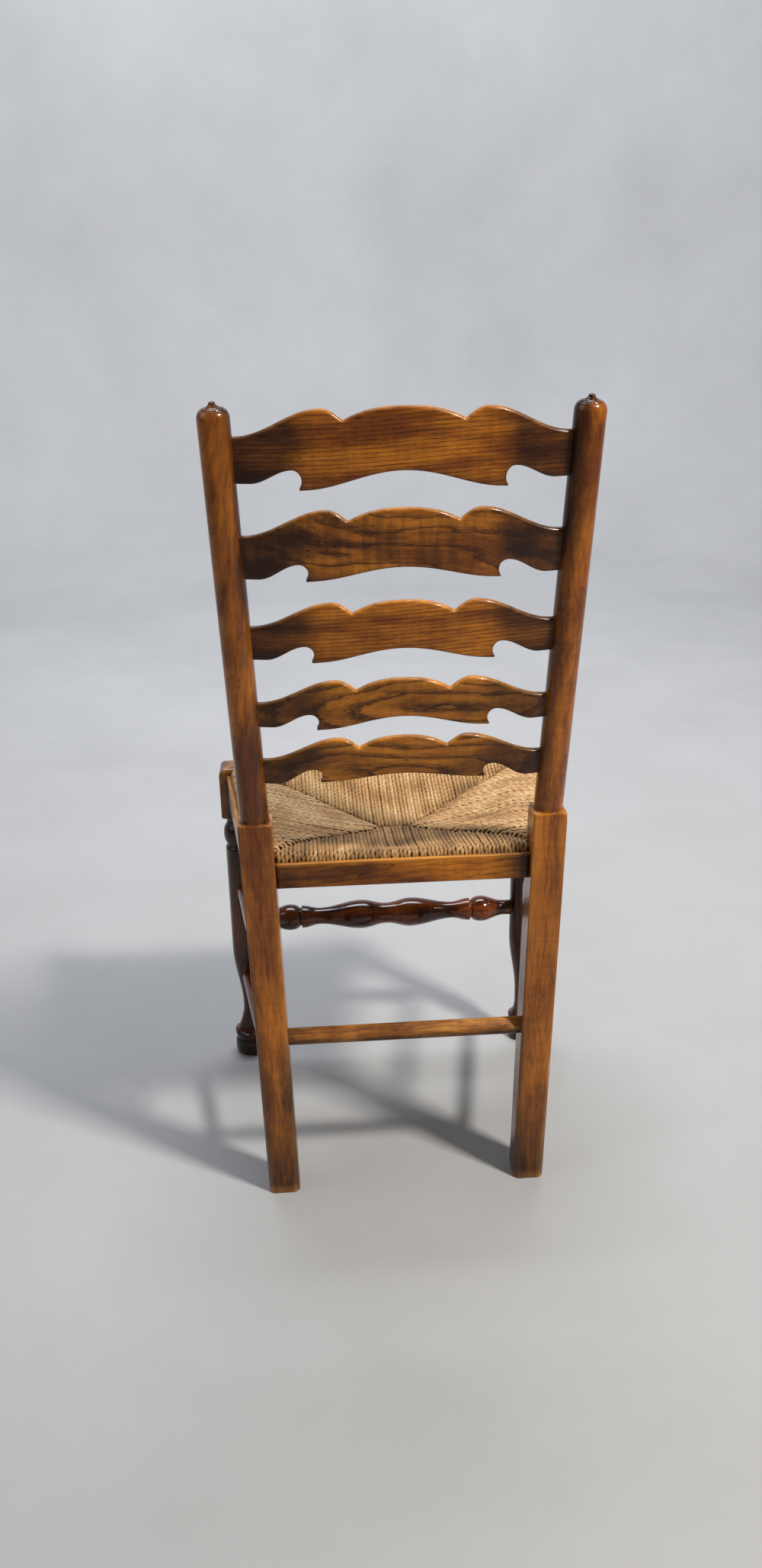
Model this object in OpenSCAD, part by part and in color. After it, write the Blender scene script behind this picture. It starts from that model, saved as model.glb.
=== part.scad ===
// Ladder-back dining chair with five waved slats and a woven rush seat.
// Millimetres. The chair stands on z = 0, its front faces -Y and the sitter's left is +X.
// The origin is on the floor, under the middle of the chair's outer box.

/* [Seat] */
// Height of the rush seat where it wraps the rails
seat_h = 483; // [400:1:560]
// Run from the back post axis forward to the front leg axis
seat_run = 317; // [260:1:400]
// Distance between the two front leg axes
leg_span = 424; // [350:1:520]
// Thickness of the hidden seat rails
rail_t = 16; // [14:0.5:20]
// Height of the hidden seat rails
rail_h = 30; // [26:1:40]
// Thickness of the rush wrapped round a rail
rush_t = 7; // [5:0.5:9]
// Depth of the hollow worn into the middle of the seat
seat_sag = 24; // [5:1:30]
// How far the underside of the seat bellies below the rails
seat_belly = 9; // [2:1:14]
// Width of the bevel along the rush's long edges
rush_bevel = 5; // [2:0.5:7]

/* [Edge strips] */
// Thickness of the wooden strips round the seat
strip_t = 6; // [4:0.5:8]
// Height of the edge strips
strip_h = 32; // [24:1:38]
// Drop from the top of the rush to the top of the strips
strip_drop = 11; // [6:1:16]
// How far the front, rear and side strips stand inside the outer faces of the legs
strip_setback = 11; // [6:0.5:14]
// The same at the rear end of the side strips, where they meet the back posts
side_strip_setback = 1; // [0:0.5:5]

/* [Back posts] */
// Rise from the seat to the shoulder where the square post becomes round
shoulder_rise = 44; // [30:1:70]
// Height of the back above that shoulder
back_h = 473; // [400:1:580]
// How far the post tips lean back behind the shoulders
back_lean = 63; // [30:1:90]
// Distance between the back post axes at the floor
post_foot_span = 324; // [280:1:400]
// Distance between the back post axes at the shoulders
post_joint_span = 348; // [290:1:420]
// Distance between the back post axes at the tips
post_tip_span = 378; // [300:1:460]
// Side of the square lower post
post_sq = 40; // [38:0.5:48]
// Diameter of the round post just above the shoulder
round_d = 34.5; // [30:0.5:37]
// Diameter of the round post under its domed tip
round_tip_d = 33.5; // [28:0.5:36]
// Width of the worn arris chamfers at the floor
arris_w = 8; // [2:0.5:11]
// Drop from the seat to where those chamfers start
arris_drop = 56; // [40:1:120]

/* [Finials] */
// Height of the domed tip
dome_h = 17; // [10:0.5:24]
// Radius of the flat left round the button
dome_land_r = 10.5; // [8:0.5:13]
// Height of the button
button_h = 5; // [3:0.5:8]
// Radius of the button
button_r = 4; // [2.5:0.5:6]

/* [Front legs] */
// Side of the square block at the top of the front leg
block_sq = 47; // [42:0.5:56]
// Height of that block
block_h = 76; // [60:1:90]
// Drop from the top of the rush to the top of the block
block_drop = 2; // [0:0.5:6]
// Rounding of the top edges of the block
block_round = 10; // [3:0.5:14]
// Radius of the bead under the block
bead_r = 23.5; // [20:0.5:26]
// Height of that bead
bead_h = 30; // [20:1:36]
// Radius of the necks above and below the bead
neck_r = 18.5; // [16:0.5:22]
// Radius of the plain column
column_r = 22; // [20:0.5:25]
// Radius of the ankle
ankle_r = 11; // [10:0.5:15]
// Height of the ankle above the floor
ankle_z = 86; // [76:1:110]
// Height where the column starts to narrow to the ankle
taper_z = 186; // [170:1:230]
// Radius of the pad over the foot
pad_r = 23; // [20:0.5:28]
// Height of the pad's widest line
pad_z = 39; // [34:1:44]
// Radius of the groove under the pad
groove_r = 20; // [16:0.5:24]
// Height of the groove
groove_z = 26.5; // [22:0.5:30]
// Radius of the bun under the groove
bun_r = 23.5; // [20:0.5:28]
// Sideways and forward offset of the foot from the leg's own axis
foot_offset = 3.5; // [0:0.5:6]

/* [Slats] */
// Thickness of the slats
slat_t = 9; // [7:0.5:12]
// Radius to which the slats are bent
slat_bend_r = 1060; // [800:10:1600]
// Rise from the shoulder to the bottom slat, along the back
first_slat_rise = 50; // [40:1:70]
// Drop from the post tip to the lower edge of the top slat, along the back
top_slat_drop = 81; // [76:1:110]
// How much the gaps widen towards the top, from 0 for even gaps
slat_grade = 0.22; // [0:0.01:0.3]
// Depth of the top slat at its ends
top_slat_depth = 46.5; // [38:0.5:50]
// Depth of the upper slat at its ends
upper_slat_depth = 46; // [34:0.5:50]
// Depth of the middle slat at its ends
middle_slat_depth = 37.5; // [28:0.5:44]
// Depth of the lower slat at its ends
lower_slat_depth = 29; // [24:0.5:36]
// Depth of the bottom slat at its ends
bottom_slat_depth = 30.5; // [24:0.5:36]
// Drop of the top slat's hooks below its ends
top_slat_hook = 6; // [-4:0.5:8]
// Drop of the upper slat's hooks below its ends
upper_slat_hook = 1.5; // [-4:0.5:8]
// Drop of the middle slat's hooks below its ends
middle_slat_hook = 2.5; // [-4:0.5:8]
// Drop of the lower slat's hooks below its ends
lower_slat_hook = 2; // [-4:0.5:8]
// Drop of the bottom slat's hooks below its ends
bottom_slat_hook = -3.5; // [-4:0.5:8]
// Rise of the slat's shoulders above its ends
hump_rise = 27.5; // [18:0.5:32]
// Fall from a shoulder into the notch beside it
notch_fall = 11.5; // [6:0.5:16]
// Rise of the middle crown above the shoulders
crown_rise = 2; // [0:0.5:6]
// Rise of the arch cut in the middle of the lower edge
arch_rise = 13; // [6:0.5:20]
// Rise of the scallops cut beside the hooks, on a slat whose hooks end level with its ends
scallop_rise = 17; // [13:0.5:20]
// Distance from the post to the top of a shoulder
hump_at = 87; // [70:1:100]
// Distance from the post to the notch
notch_at = 109; // [98:1:130]
// Distance from the post to the top of a scallop
scallop_at = 57; // [45:1:64]
// Distance from the post to the steep side of a hook
hook_at = 66.5; // [62:0.5:80]

/* [Stretchers] */
// Height of the turned front stretcher
front_stretcher_z = 231; // [210:1:260]
// Height of the rear stretcher
rear_stretcher_z = 229; // [190:1:260]
// Height of the lower side stretchers
lower_side_z = 143; // [130:1:170]
// Drop from the seat to the upper side stretchers
upper_side_drop = 193; // [160:1:200]
// Height and depth of the eight-sided rear stretcher
rear_stretcher_d = 21; // [18:0.5:26]
// Width of the flats planed on its upper edges
rear_stretcher_flat = 8.5; // [5:0.5:10]
// Middle diameter of the side stretchers
side_stretcher_d = 21; // [18:0.5:26]
// Diameter of the side stretchers where they meet the legs
side_stretcher_end_d = 17; // [16:0.5:18]
// Radius of the front stretcher at its waist
waist_r = 15.3; // [12:0.5:18]
// Radius of its two vases
vase_r = 21.5; // [18:0.5:25]
// Radius of its slender necks
slender_r = 12.3; // [10:0.1:15]
// Radius of its rings
ring_r = 16.8; // [14:0.1:20]
// Radius of its bulbs
bulb_r = 19.4; // [16:0.1:23]
// Radius of its ends beside the legs
stretcher_end_r = 11.2; // [9:0.1:13]

/* [Joints] */
// Clearance on each side of a tenon, tongue or peg
fit_gap = 0.1; // [0.05:0.05:0.3]
// Length of the rail tenons
rail_tenon_len = 15; // [10:0.5:18]
// Thickness of the rail tenons
rail_tenon_t = 9; // [6:0.5:10]
// Depth to which the slats enter the posts
tongue_len = 13; // [8:0.5:14]
// Diameter of the round tenons on the stretchers
round_tenon_d = 13; // [10:0.5:15]
// Length of the round tenons
round_tenon_len = 15; // [10:0.5:16]
// Diameter of the pegs that lock the top slat
peg_d = 5; // [4:0.5:6]
// Wood left behind a peg at the back of the post
peg_stop = 6; // [4:0.5:8]
// Shank diameter of the strip pins
pin_d = 1.5; // [1.2:0.1:2]
// Head diameter of the strip pins
pin_head_d = 3; // [2.4:0.1:4]
// Length of the strip pins
pin_len = 24; // [19:0.5:26]
// Depth to which the pin heads are sunk into the strips
pin_sink = 1; // [0.5:0.1:2]
// Number of pins along each strip
pin_count = 3; // [2:1:5]

/* [Hidden] */
$fn = 64;
over = 1;               // how far a cutting solid passes the face it cuts
oak = "#7a4520";
dark_oak = "#4f2b16";
gold_rush = "#c29a5b";

// Levels
joint_z = seat_h + shoulder_rise;
total_h = joint_z + back_h;
rail_top = seat_h - rush_t;
rail_mid = rail_top - rail_h / 2;
rush_bottom = rail_top - rail_h - rush_t;
strip_top = seat_h - strip_drop;
strip_mid = strip_top - strip_h / 2;
block_top = seat_h - block_drop;
block_bottom = block_top - block_h;
upper_side_z = seat_h - upper_side_drop;
arris_z = seat_h - arris_drop;

// Lower posts: straight, splayed sideways only
lower_splay = atan((post_joint_span - post_foot_span) / 2 / joint_z);
lower_len = joint_z / cos(lower_splay);
function post_x(z) = (post_foot_span + (post_joint_span - post_foot_span) * z / joint_z) / 2;

// The back leans as one plane that turns about the line through both shoulders
lean = atan(back_lean / back_h);
back_plane_h = back_h / cos(lean);
upper_splay = atan((post_tip_span - post_joint_span) / 2 / back_plane_h);
back_len = back_plane_h / cos(upper_splay);
function back_x(s) = post_joint_span / 2 + s * tan(upper_splay);
function round_r(s) = (round_d + (round_tip_d - round_d) * s / (back_len - dome_h)) / 2;

// Slats, counted from the bottom one
slat_depths = [bottom_slat_depth, lower_slat_depth, middle_slat_depth, upper_slat_depth, top_slat_depth];
slat_hooks = [bottom_slat_hook, lower_slat_hook, middle_slat_hook, upper_slat_hook, top_slat_hook];
top_slat_no = len(slat_depths) - 1;
slat_run = back_plane_h - top_slat_drop - first_slat_rise;
function slat_part(i) = i / top_slat_no;
function slat_base(i) = first_slat_rise
    + slat_run * (slat_part(i) - slat_grade * slat_part(i) * (1 - slat_part(i)));
function slat_mid(i) = slat_base(i) + slat_depths[i] / 2;
function slat_half(i) = back_x(slat_mid(i)) - round_r(slat_mid(i));
function slat_bow(i) = slat_bend_r - sqrt(pow(slat_bend_r, 2) - pow(slat_half(i), 2));
function slat_crest(i) = slat_base(i) + slat_depths[i] + hump_rise + crown_rise;

// Side rails run from a point on the back post's front face to one on the leg block's rear face
wrap = strip_t + rush_t + rail_t / 2;
rear_rail_y = post_sq / 2 - strip_setback - wrap;
front_rail_y = -seat_run - block_sq / 2 + strip_setback + wrap;
side_rear = [post_x(rail_mid) + post_sq / 2 - side_strip_setback - wrap, -post_sq / 2];
side_front = [(leg_span + block_sq) / 2 - strip_setback - wrap, block_sq / 2 - seat_run];
side_turn = atan((side_front[0] - side_rear[0]) / (side_rear[1] - side_front[1]));
side_len = norm(side_front - side_rear);
tenon_split = 1;        // half the space between the upper and the lower tenons of a corner
tenon_shoulder = 3;     // shoulder above and below a tenon

// The outer box reaches from the front of the feet or blocks to the crest of the top slat or a post
front_y = -seat_run - max(bun_r + foot_offset, pad_r + foot_offset, block_sq / 2);
crest_y = (slat_t / 2 + slat_bow(top_slat_no)) * cos(lean) + slat_crest(top_slat_no) * sin(lean);
tip_y = (back_plane_h - dome_h) * sin(lean) + round_tip_d / 2 * cos(lean);
rear_y = -(front_y + max(crest_y, tip_y, post_sq / 2)) / 2;

function quarter(a, b, from, to, steps) =
    [for (k = [0:steps]) let (w = from + (to - from) * k / steps)
        [a[0] + b[0] * cos(w), a[1] + b[1] * sin(w)]];
function swing(t) = (1 - cos(180 * t)) / 2;
function eased(r0, r1, z0, z1, steps) =
    [for (k = [0:steps]) [r0 + (r1 - r0) * swing(k / steps), z0 + (z1 - z0) * k / steps]];

// ---- Places ----

module chair() translate([0, rear_y, 0]) children();
module back_plane() translate([0, 0, joint_z]) rotate([-lean, 0, 0]) children();
module lower_post_axis() translate([post_foot_span / 2, 0, 0]) rotate([0, lower_splay, 0]) children();
module upper_post_axis() back_plane() translate([post_joint_span / 2, 0, 0])
    rotate([0, upper_splay, 0]) children();
module leg_axis() translate([leg_span / 2, -seat_run, 0]) children();
module side_line() translate([side_rear[0], side_rear[1], 0]) rotate([0, 0, side_turn]) children();
module both_sides() {
    children();
    mirror([1, 0, 0]) children();
}
module box(low, high) translate(low) cube(high - low);

// ---- Square envelopes that the rails, strips and rush are cut against ----

module post_block() lower_post_axis()
    box([-post_sq / 2, -post_sq / 2, -over], [post_sq / 2, post_sq / 2, lower_len]);
// The same square made longer to the front and rear, or to both sides, for rails wider than the post allows
module post_deep() lower_post_axis()
    box([-post_sq / 2, -post_sq, -over], [post_sq / 2, post_sq, lower_len]);
module post_wide() lower_post_axis()
    box([-post_sq, -post_sq / 2, -over], [post_sq, post_sq / 2, lower_len]);
module leg_block() leg_axis()
    box([-block_sq / 2, -block_sq / 2, block_bottom], [block_sq / 2, block_sq / 2, block_top]);

// ---- Rail tenons, which double as mortise cutters when they are given a gap ----

module cross_tenons(y, span, gap) {
    reach = span + rail_tenon_len + gap;
    box([-reach, y - rail_tenon_t / 2 - gap, rail_mid + tenon_split - gap],
        [reach, y + rail_tenon_t / 2 + gap, rail_top - tenon_shoulder + gap]);
}
module rear_tenons(gap) cross_tenons(rear_rail_y, post_x(rail_mid) - post_sq / 2, gap);
module front_tenons(gap) cross_tenons(front_rail_y, (leg_span - block_sq) / 2, gap);
module side_tenons(gap) side_line()
    box([-rail_tenon_t / 2 - gap, -side_len - rail_tenon_len - gap,
            rail_mid - rail_h / 2 + tenon_shoulder - gap],
        [rail_tenon_t / 2 + gap, rail_tenon_len + gap, rail_mid - tenon_split + gap]);

// ---- Round stretcher tenons ----

front_reach = leg_span / 2 - column_r;
rear_reach = post_x(rear_stretcher_z) - post_sq / 2;
module front_stretcher_tenons(gap) translate([0, -seat_run, front_stretcher_z]) rotate([0, 90, 0])
    cylinder(h = 2 * (front_reach + round_tenon_len), d = round_tenon_d + 2 * gap, center = true);
module rear_stretcher_tenons(gap) translate([0, 0, rear_stretcher_z]) rotate([0, 90, 0])
    cylinder(h = 2 * (rear_reach + round_tenon_len), d = round_tenon_d + 2 * gap, center = true);

// A side stretcher lies on the line from the back post's front face to the front leg's column
function side_ends(z) = [[post_x(z), -post_sq / 2], [leg_span / 2, column_r - seat_run]];
function ends_turn(e) = atan((e[1][0] - e[0][0]) / (e[0][1] - e[1][1]));
module side_stretcher_line(z) translate([side_ends(z)[0][0], side_ends(z)[0][1], z])
    rotate([0, 0, ends_turn(side_ends(z))]) rotate([90, 0, 0]) children();
module side_stretcher_tenons(z, gap) side_stretcher_line(z) translate([0, 0, -round_tenon_len])
    cylinder(h = norm(side_ends(z)[1] - side_ends(z)[0]) + 2 * round_tenon_len,
        d = round_tenon_d + 2 * gap);

// ---- Back posts ----

tip_step = 1.5;         // drop from the button's seat to the top of the dome
tip_groove = 1.4;       // width of the groove round the button's seat
function tip_profile() = concat(
    [[0, -dome_h], [round_d / 2, -dome_h], [round_d / 2, 0], [round_tip_d / 2, back_len - dome_h]],
    quarter([dome_land_r, back_len - dome_h],
        [round_tip_d / 2 - dome_land_r, dome_h - button_h - tip_step], 15, 90, 8),
    [[dome_land_r - tip_groove / 2, back_len - button_h - tip_step - tip_groove / 3],
     [dome_land_r - tip_groove, back_len - button_h - tip_step],
     [button_r + tip_groove, back_len - button_h], [button_r - tip_groove / 2, back_len - button_h]],
    quarter([0, back_len - button_h / 2], [button_r, button_h / 2], -30, 90, 8));

corner_clip = 5.5;      // how far the lathe's clipping stays outside the square's faces
module arris_cut(i) {
    slope = atan(arris_w / sqrt(2) / arris_z);
    rotate([0, 0, 90 * i]) translate([post_sq / 2, post_sq / 2, arris_z]) rotate([0, 0, 45])
        rotate([0, slope, 0]) translate([0, -post_sq, -2 * arris_z])
        cube([post_sq, 2 * post_sq, 2 * arris_z]);
}

module slat_shell(i, t) translate([0, -sqrt(pow(slat_bend_r, 2) - pow(slat_half(i), 2)), 0])
    difference() {
        cylinder(h = back_plane_h, r = slat_bend_r + t / 2, $fn = 720);
        translate([0, 0, -over]) cylinder(h = back_plane_h + 2 * over, r = slat_bend_r - t / 2, $fn = 720);
    }

// The slat's tongue rests on the bottom of its mortise and is free above, beside and behind
module slat_mortise(i) back_plane() intersection() {
    slat_shell(i, slat_t + 2 * fit_gap);
    box([0, -post_sq, slat_base(i)],
        [slat_half(i) + tongue_len + fit_gap, post_sq, slat_base(i) + slat_depths[i] + fit_gap]);
}

peg_sink = 0.5;         // how far a peg's end lies under the post's roundest line
module slat_peg(gap) {
    post_r = round_r(slat_mid(top_slat_no));
    back_plane() translate([slat_half(top_slat_no) + tongue_len / 2, 0, slat_mid(top_slat_no)])
        rotate([90, 0, 0]) translate([0, 0, peg_stop - post_r])
        cylinder(h = 2 * post_r - peg_stop - peg_sink + 2 * gap * post_sq, d = peg_d + 2 * gap);
}

module back_post() chair() difference() {
    union() {
        lower_post_axis() difference() {
            box([-post_sq / 2, -post_sq / 2, -post_sq], [post_sq / 2, post_sq / 2, lower_len]);
            for (i = [0:3]) arris_cut(i);
            // the lathe clips the four corners of the square just under the round
            rotate_extrude() polygon([[post_sq / 2 + corner_clip, lower_len + over],
                [post_sq, lower_len + over], [post_sq, lower_len - post_sq]]);
        }
        upper_post_axis() rotate_extrude() polygon(tip_profile());
    }
    box([0, -post_sq, -2 * post_sq], [post_foot_span, post_sq, 0]);
    for (i = [0:top_slat_no]) slat_mortise(i);
    rear_tenons(fit_gap);
    side_tenons(fit_gap);
    rear_stretcher_tenons(fit_gap);
    side_stretcher_tenons(lower_side_z, fit_gap);
    side_stretcher_tenons(upper_side_z, fit_gap);
    slat_peg(fit_gap);
}
module left_back_post() color(oak) back_post();
module right_back_post() color(oak) mirror([1, 0, 0]) back_post();

// ---- Front legs ----

module block_face() {
    square([block_sq, block_h - block_round]);
    translate([block_round, 0]) square([block_sq - 2 * block_round, block_h]);
    for (x = [block_round, block_sq - block_round])
        translate([x, block_h - block_round]) circle(r = block_round);
}
module rounded_block() translate([0, 0, block_bottom]) intersection() {
    rotate([90, 0, 0]) translate([-block_sq / 2, 0, -block_sq / 2]) linear_extrude(block_sq) block_face();
    rotate([90, 0, 90]) translate([-block_sq / 2, 0, -block_sq / 2]) linear_extrude(block_sq) block_face();
    cylinder(h = block_h, r1 = block_sq / 2 + 6, r2 = block_sq / 2 + 6 + block_h);
}

neck_h = 15;            // plain neck between the block and the bead
cove_h = 9;             // plain neck between the bead and the column
bead_z = block_bottom - bead_h / 2 - neck_h;
column_top = bead_z - bead_h / 2 - cove_h;
function leg_profile() = concat(
    [[0, block_bottom + over], [neck_r - 0.5, block_bottom + over]],
    quarter([neck_r, bead_z], [bead_r - neck_r, bead_h / 2], 90, -90, 12),
    quarter([neck_r, column_top], [column_r - neck_r, 7], 90, 0, 5),
    eased(column_r, ankle_r, taper_z, ankle_z, 14),
    [[0, ankle_z]]);
function foot_profile() = concat(
    [[0, 0], [bun_r - 5, 0]],
    quarter([groove_r, groove_z / 2], [bun_r - groove_r, groove_z / 2], -60, 80, 10),
    [[groove_r, groove_z]],
    quarter([groove_r, pad_z], [pad_r - groove_r, pad_z - groove_z - 1], -80, 0, 6),
    [[0, pad_z]]);
// Discs that the ankle flares through: height, radius and share of the foot's offset
flare_discs = [[ankle_z, ankle_r, 0], [pad_z + 23, ankle_r + 1.5, 0.35], [pad_z + 10, pad_r - 5, 0.8],
    [pad_z, pad_r, 1]];
module flare_disc(k) {
    aside = foot_offset * flare_discs[k][2];
    translate([aside, -aside, flare_discs[k][0]]) cylinder(h = 0.01, r = flare_discs[k][1], $fn = 32);
}
module leg_turning() leg_axis() rotate_extrude() polygon(leg_profile());

module front_leg() chair() difference() {
    union() {
        leg_axis() rounded_block();
        leg_turning();
        leg_axis() translate([foot_offset, -foot_offset, 0]) rotate_extrude() polygon(foot_profile());
        // the ankle flares into the pad, which is turned on its own offset centre
        leg_axis() for (k = [0:2]) hull() {
            flare_disc(k);
            flare_disc(k + 1);
        }
    }
    front_tenons(fit_gap);
    side_tenons(fit_gap);
    front_stretcher_tenons(fit_gap);
    side_stretcher_tenons(lower_side_z, fit_gap);
    side_stretcher_tenons(upper_side_z, fit_gap);
}
module left_front_leg() color(dark_oak) front_leg();
module right_front_leg() color(dark_oak) mirror([1, 0, 0]) front_leg();

// ---- Slats ----

// Height of a slat's upper edge at a distance s from the post
function slat_upper(i, s) = slat_depths[i] + (
    s <= 0 ? 0 :
    s < hump_at ? hump_rise * swing(s / hump_at) :
    s < notch_at ? hump_rise - notch_fall * (1 - cos(90 * (s - hump_at) / (notch_at - hump_at))) :
    hump_rise - notch_fall + (notch_fall + crown_rise)
        * (1 - pow(max(0, 1 - (s - notch_at) / (slat_half(i) - notch_at)), 2.5)));

hook_w = 4.5;           // width of the hook's blunt point
hook_side = 9;          // height of the hook's steep side
hook_flare = 2.5;       // how far the point curls back towards the post
hook_point = 2;         // height of the curled point
flat_at = 14;           // length left straight beside the post
function slat_lower_points(i) = let (low = -slat_hooks[i], top = scallop_rise - slat_hooks[i] / 2) concat(
    [for (s = [-tongue_len, 0, flat_at]) [s, 0]],
    [for (k = [1:8]) [flat_at + (scallop_at - flat_at) * k / 8, top * swing(k / 8)]],
    quarter([scallop_at, low + hook_side], [hook_at - scallop_at, top - low - hook_side], 75, 0, 5),
    [[hook_at, low + hook_side / 2], [hook_at - hook_flare, low + hook_point],
     [hook_at - 0.7 * hook_flare, low + 0.2 * hook_point],
     [hook_at + 0.2 * hook_flare, low - 0.15 * hook_point]],
    [for (k = [0:11]) let (t = k / 11.5)
        [hook_at + hook_w + (slat_half(i) - hook_at - hook_w) * t,
         low + (arch_rise - low) * swing(pow(t, 0.9))]]);
function slat_upper_points(i) = [for (s = concat([-tongue_len, 0],
    [for (k = [1:12]) hump_at * k / 12], [for (k = [1:5]) hump_at + (notch_at - hump_at) * k / 5],
    [for (k = [1:12]) notch_at + (slat_half(i) - notch_at) * k / 12.5])) [s, slat_upper(i, s)]];
function backward(points) = [for (k = [len(points) - 1:-1:0]) points[k]];
function across(i, points, side) = [for (p = points) [side * (slat_half(i) - p[0]), p[1]]];
// Once round: in along the lower edge from one end, out to the other end, and back along the top
function slat_outline(i) = concat(
    across(i, slat_lower_points(i), -1), across(i, backward(slat_lower_points(i)), 1),
    across(i, slat_upper_points(i), 1), across(i, backward(slat_upper_points(i)), -1));

module slat(i) chair() difference() {
    back_plane() intersection() {
        slat_shell(i, slat_t);
        translate([0, post_sq, slat_base(i)]) rotate([90, 0, 0]) linear_extrude(2 * post_sq)
            polygon(slat_outline(i));
    }
    if (i == top_slat_no) both_sides() slat_peg(fit_gap);
}
module bottom_slat() color(oak) slat(0);
module lower_slat() color(oak) slat(1);
module middle_slat() color(oak) slat(2);
module upper_slat() color(oak) slat(3);
module top_slat() color(oak) slat(4);
module slat_pegs() color(dark_oak) chair() both_sides() slat_peg(0);

// ---- Seat rails ----

module rear_rail_bar() box([-post_joint_span, rear_rail_y - rail_t / 2, rail_mid - rail_h / 2],
    [post_joint_span, rear_rail_y + rail_t / 2, rail_top]);
module front_rail_bar() box([-leg_span, front_rail_y - rail_t / 2, rail_mid - rail_h / 2],
    [leg_span, front_rail_y + rail_t / 2, rail_top]);
module between_posts() intersection() {
    children();
    box([-post_x(rail_mid), -seat_run, 0], [post_x(rail_mid), seat_run, total_h]);
}
module between_legs() intersection() {
    children();
    box([-leg_span / 2, -2 * seat_run, 0], [leg_span / 2, 0, total_h]);
}
module side_rail_bar() side_line() box([-rail_t / 2, -side_len - block_sq / 4, rail_mid - rail_h / 2],
    [rail_t / 2, post_sq / 4, rail_top]);

module rear_seat_rail() color(dark_oak) chair() difference() {
    union() {
        difference() {
            between_posts() rear_rail_bar();
            both_sides() post_deep();
        }
        rear_tenons(0);
    }
    rear_pins(fit_gap);
}
module front_seat_rail() color(dark_oak) chair() difference() {
    union() {
        difference() {
            between_legs() front_rail_bar();
            both_sides() leg_block();
        }
        front_tenons(0);
    }
    front_pins(fit_gap);
}
module side_seat_rail() chair() difference() {
    union() {
        difference() {
            side_rail_bar();
            post_wide();
            leg_block();
        }
        side_tenons(0);
    }
    side_pins(fit_gap);
}
module left_seat_rail() color(dark_oak) side_seat_rail();
module right_seat_rail() color(dark_oak) mirror([1, 0, 0]) side_seat_rail();

// ---- Edge strips and their pins ----

front_face_y = front_rail_y - rail_t / 2 - rush_t;
rear_face_y = rear_rail_y + rail_t / 2 + rush_t;
side_face_x = rail_t / 2 + rush_t;

module rear_edge_strip() color(oak) chair() difference() {
    between_posts() box([-post_joint_span, rear_face_y, strip_top - strip_h],
        [post_joint_span, rear_face_y + strip_t, strip_top]);
    both_sides() post_block();
    rear_pins(fit_gap);
}
module front_edge_strip() color(oak) chair() difference() {
    between_legs() box([-leg_span, front_face_y - strip_t, strip_top - strip_h],
        [leg_span, front_face_y, strip_top]);
    both_sides() leg_block();
    front_pins(fit_gap);
}
module side_edge_strip() chair() difference() {
    side_line() box([side_face_x, -side_len - block_sq / 4, strip_top - strip_h],
        [side_face_x + strip_t, post_sq / 4, strip_top]);
    post_block();
    leg_block();
    side_pins(fit_gap);
}
module left_edge_strip() color(oak) side_edge_strip();
module right_edge_strip() color(oak) mirror([1, 0, 0]) side_edge_strip();

// A pin points along its own -Z, with its head's top at z = 0. A gap makes it a hole, open above.
module pin(gap) {
    translate([0, 0, -pin_len]) cylinder(h = pin_len, d = pin_d + 2 * gap, $fn = 16);
    translate([0, 0, -1]) cylinder(h = gap > 0 ? 1 + 2 * pin_sink : 1, d = pin_head_d + 2 * gap, $fn = 16);
}
function pin_place(k) = (k + 0.5) / pin_count - 0.5;
rear_pin_run = 2 * (post_x(strip_mid) - post_sq / 2);
front_pin_run = leg_span - block_sq;
module rear_pins(gap) for (k = [0:pin_count - 1])
    translate([rear_pin_run * pin_place(k), rear_face_y + strip_t - pin_sink, strip_mid])
    rotate([-90, 0, 0]) pin(gap);
module front_pins(gap) for (k = [0:pin_count - 1])
    translate([front_pin_run * pin_place(k), front_face_y - strip_t + pin_sink, strip_mid])
    rotate([90, 0, 0]) pin(gap);
module side_pins(gap) side_line() for (k = [0:pin_count - 1])
    translate([side_face_x + strip_t - pin_sink, side_len * (pin_place(k) - 0.5), strip_mid])
    rotate([0, 90, 0]) pin(gap);
module edge_strip_pins() color("#2c2622") chair() {
    rear_pins(0);
    front_pins(0);
    both_sides() side_pins(0);
}

// ---- Rush ----

seat_mid_y = (front_face_y + rear_face_y) / 2;
hollow_r = (rear_face_y - front_face_y) / 2 - rush_t;
dish_r = (pow(hollow_r, 2) + pow(seat_sag, 2)) / 2 / seat_sag;
belly_r = (pow(hollow_r, 2) + pow(seat_belly, 2)) / 2 / seat_belly;
seat_clear = 0.2;       // rush kept clear of the posts, blocks and strips

module dish(lift) translate([0, seat_mid_y, seat_h - seat_sag + dish_r + lift])
    sphere(r = dish_r, $fn = 120);
module belly(lift) intersection() {
    translate([0, seat_mid_y, rush_bottom - seat_belly + belly_r + lift]) sphere(r = belly_r, $fn = 120);
    box([-hollow_r, seat_mid_y - hollow_r, rush_bottom - seat_belly],
        [hollow_r, seat_mid_y + hollow_r, rail_mid]);
}

// Plan of the woven seat: full depth between posts and legs, full width between the side strips
side_in = side_face_x - seat_clear;
function side_edge(along) = [side_rear[0] + side_in * cos(side_turn) + along * sin(side_turn),
    side_rear[1] + side_in * sin(side_turn) - along * cos(side_turn)];
run_lap = 8;            // how far the runs between the posts or the blocks pass into the middle
module square_run(y, half, to) polygon([[0, y], [half, y], [half, to], [0, to]]);
module rush_plan() {
    polygon([side_edge(0), side_edge(side_len), [0, side_front[1]], [0, side_rear[1]]]);
    square_run(rear_face_y - seat_clear, post_x(rail_mid) - post_sq / 2 - seat_clear, side_rear[1] - run_lap);
    square_run(front_face_y + seat_clear, (leg_span - block_sq) / 2 - seat_clear, side_front[1] + run_lap);
}

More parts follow.
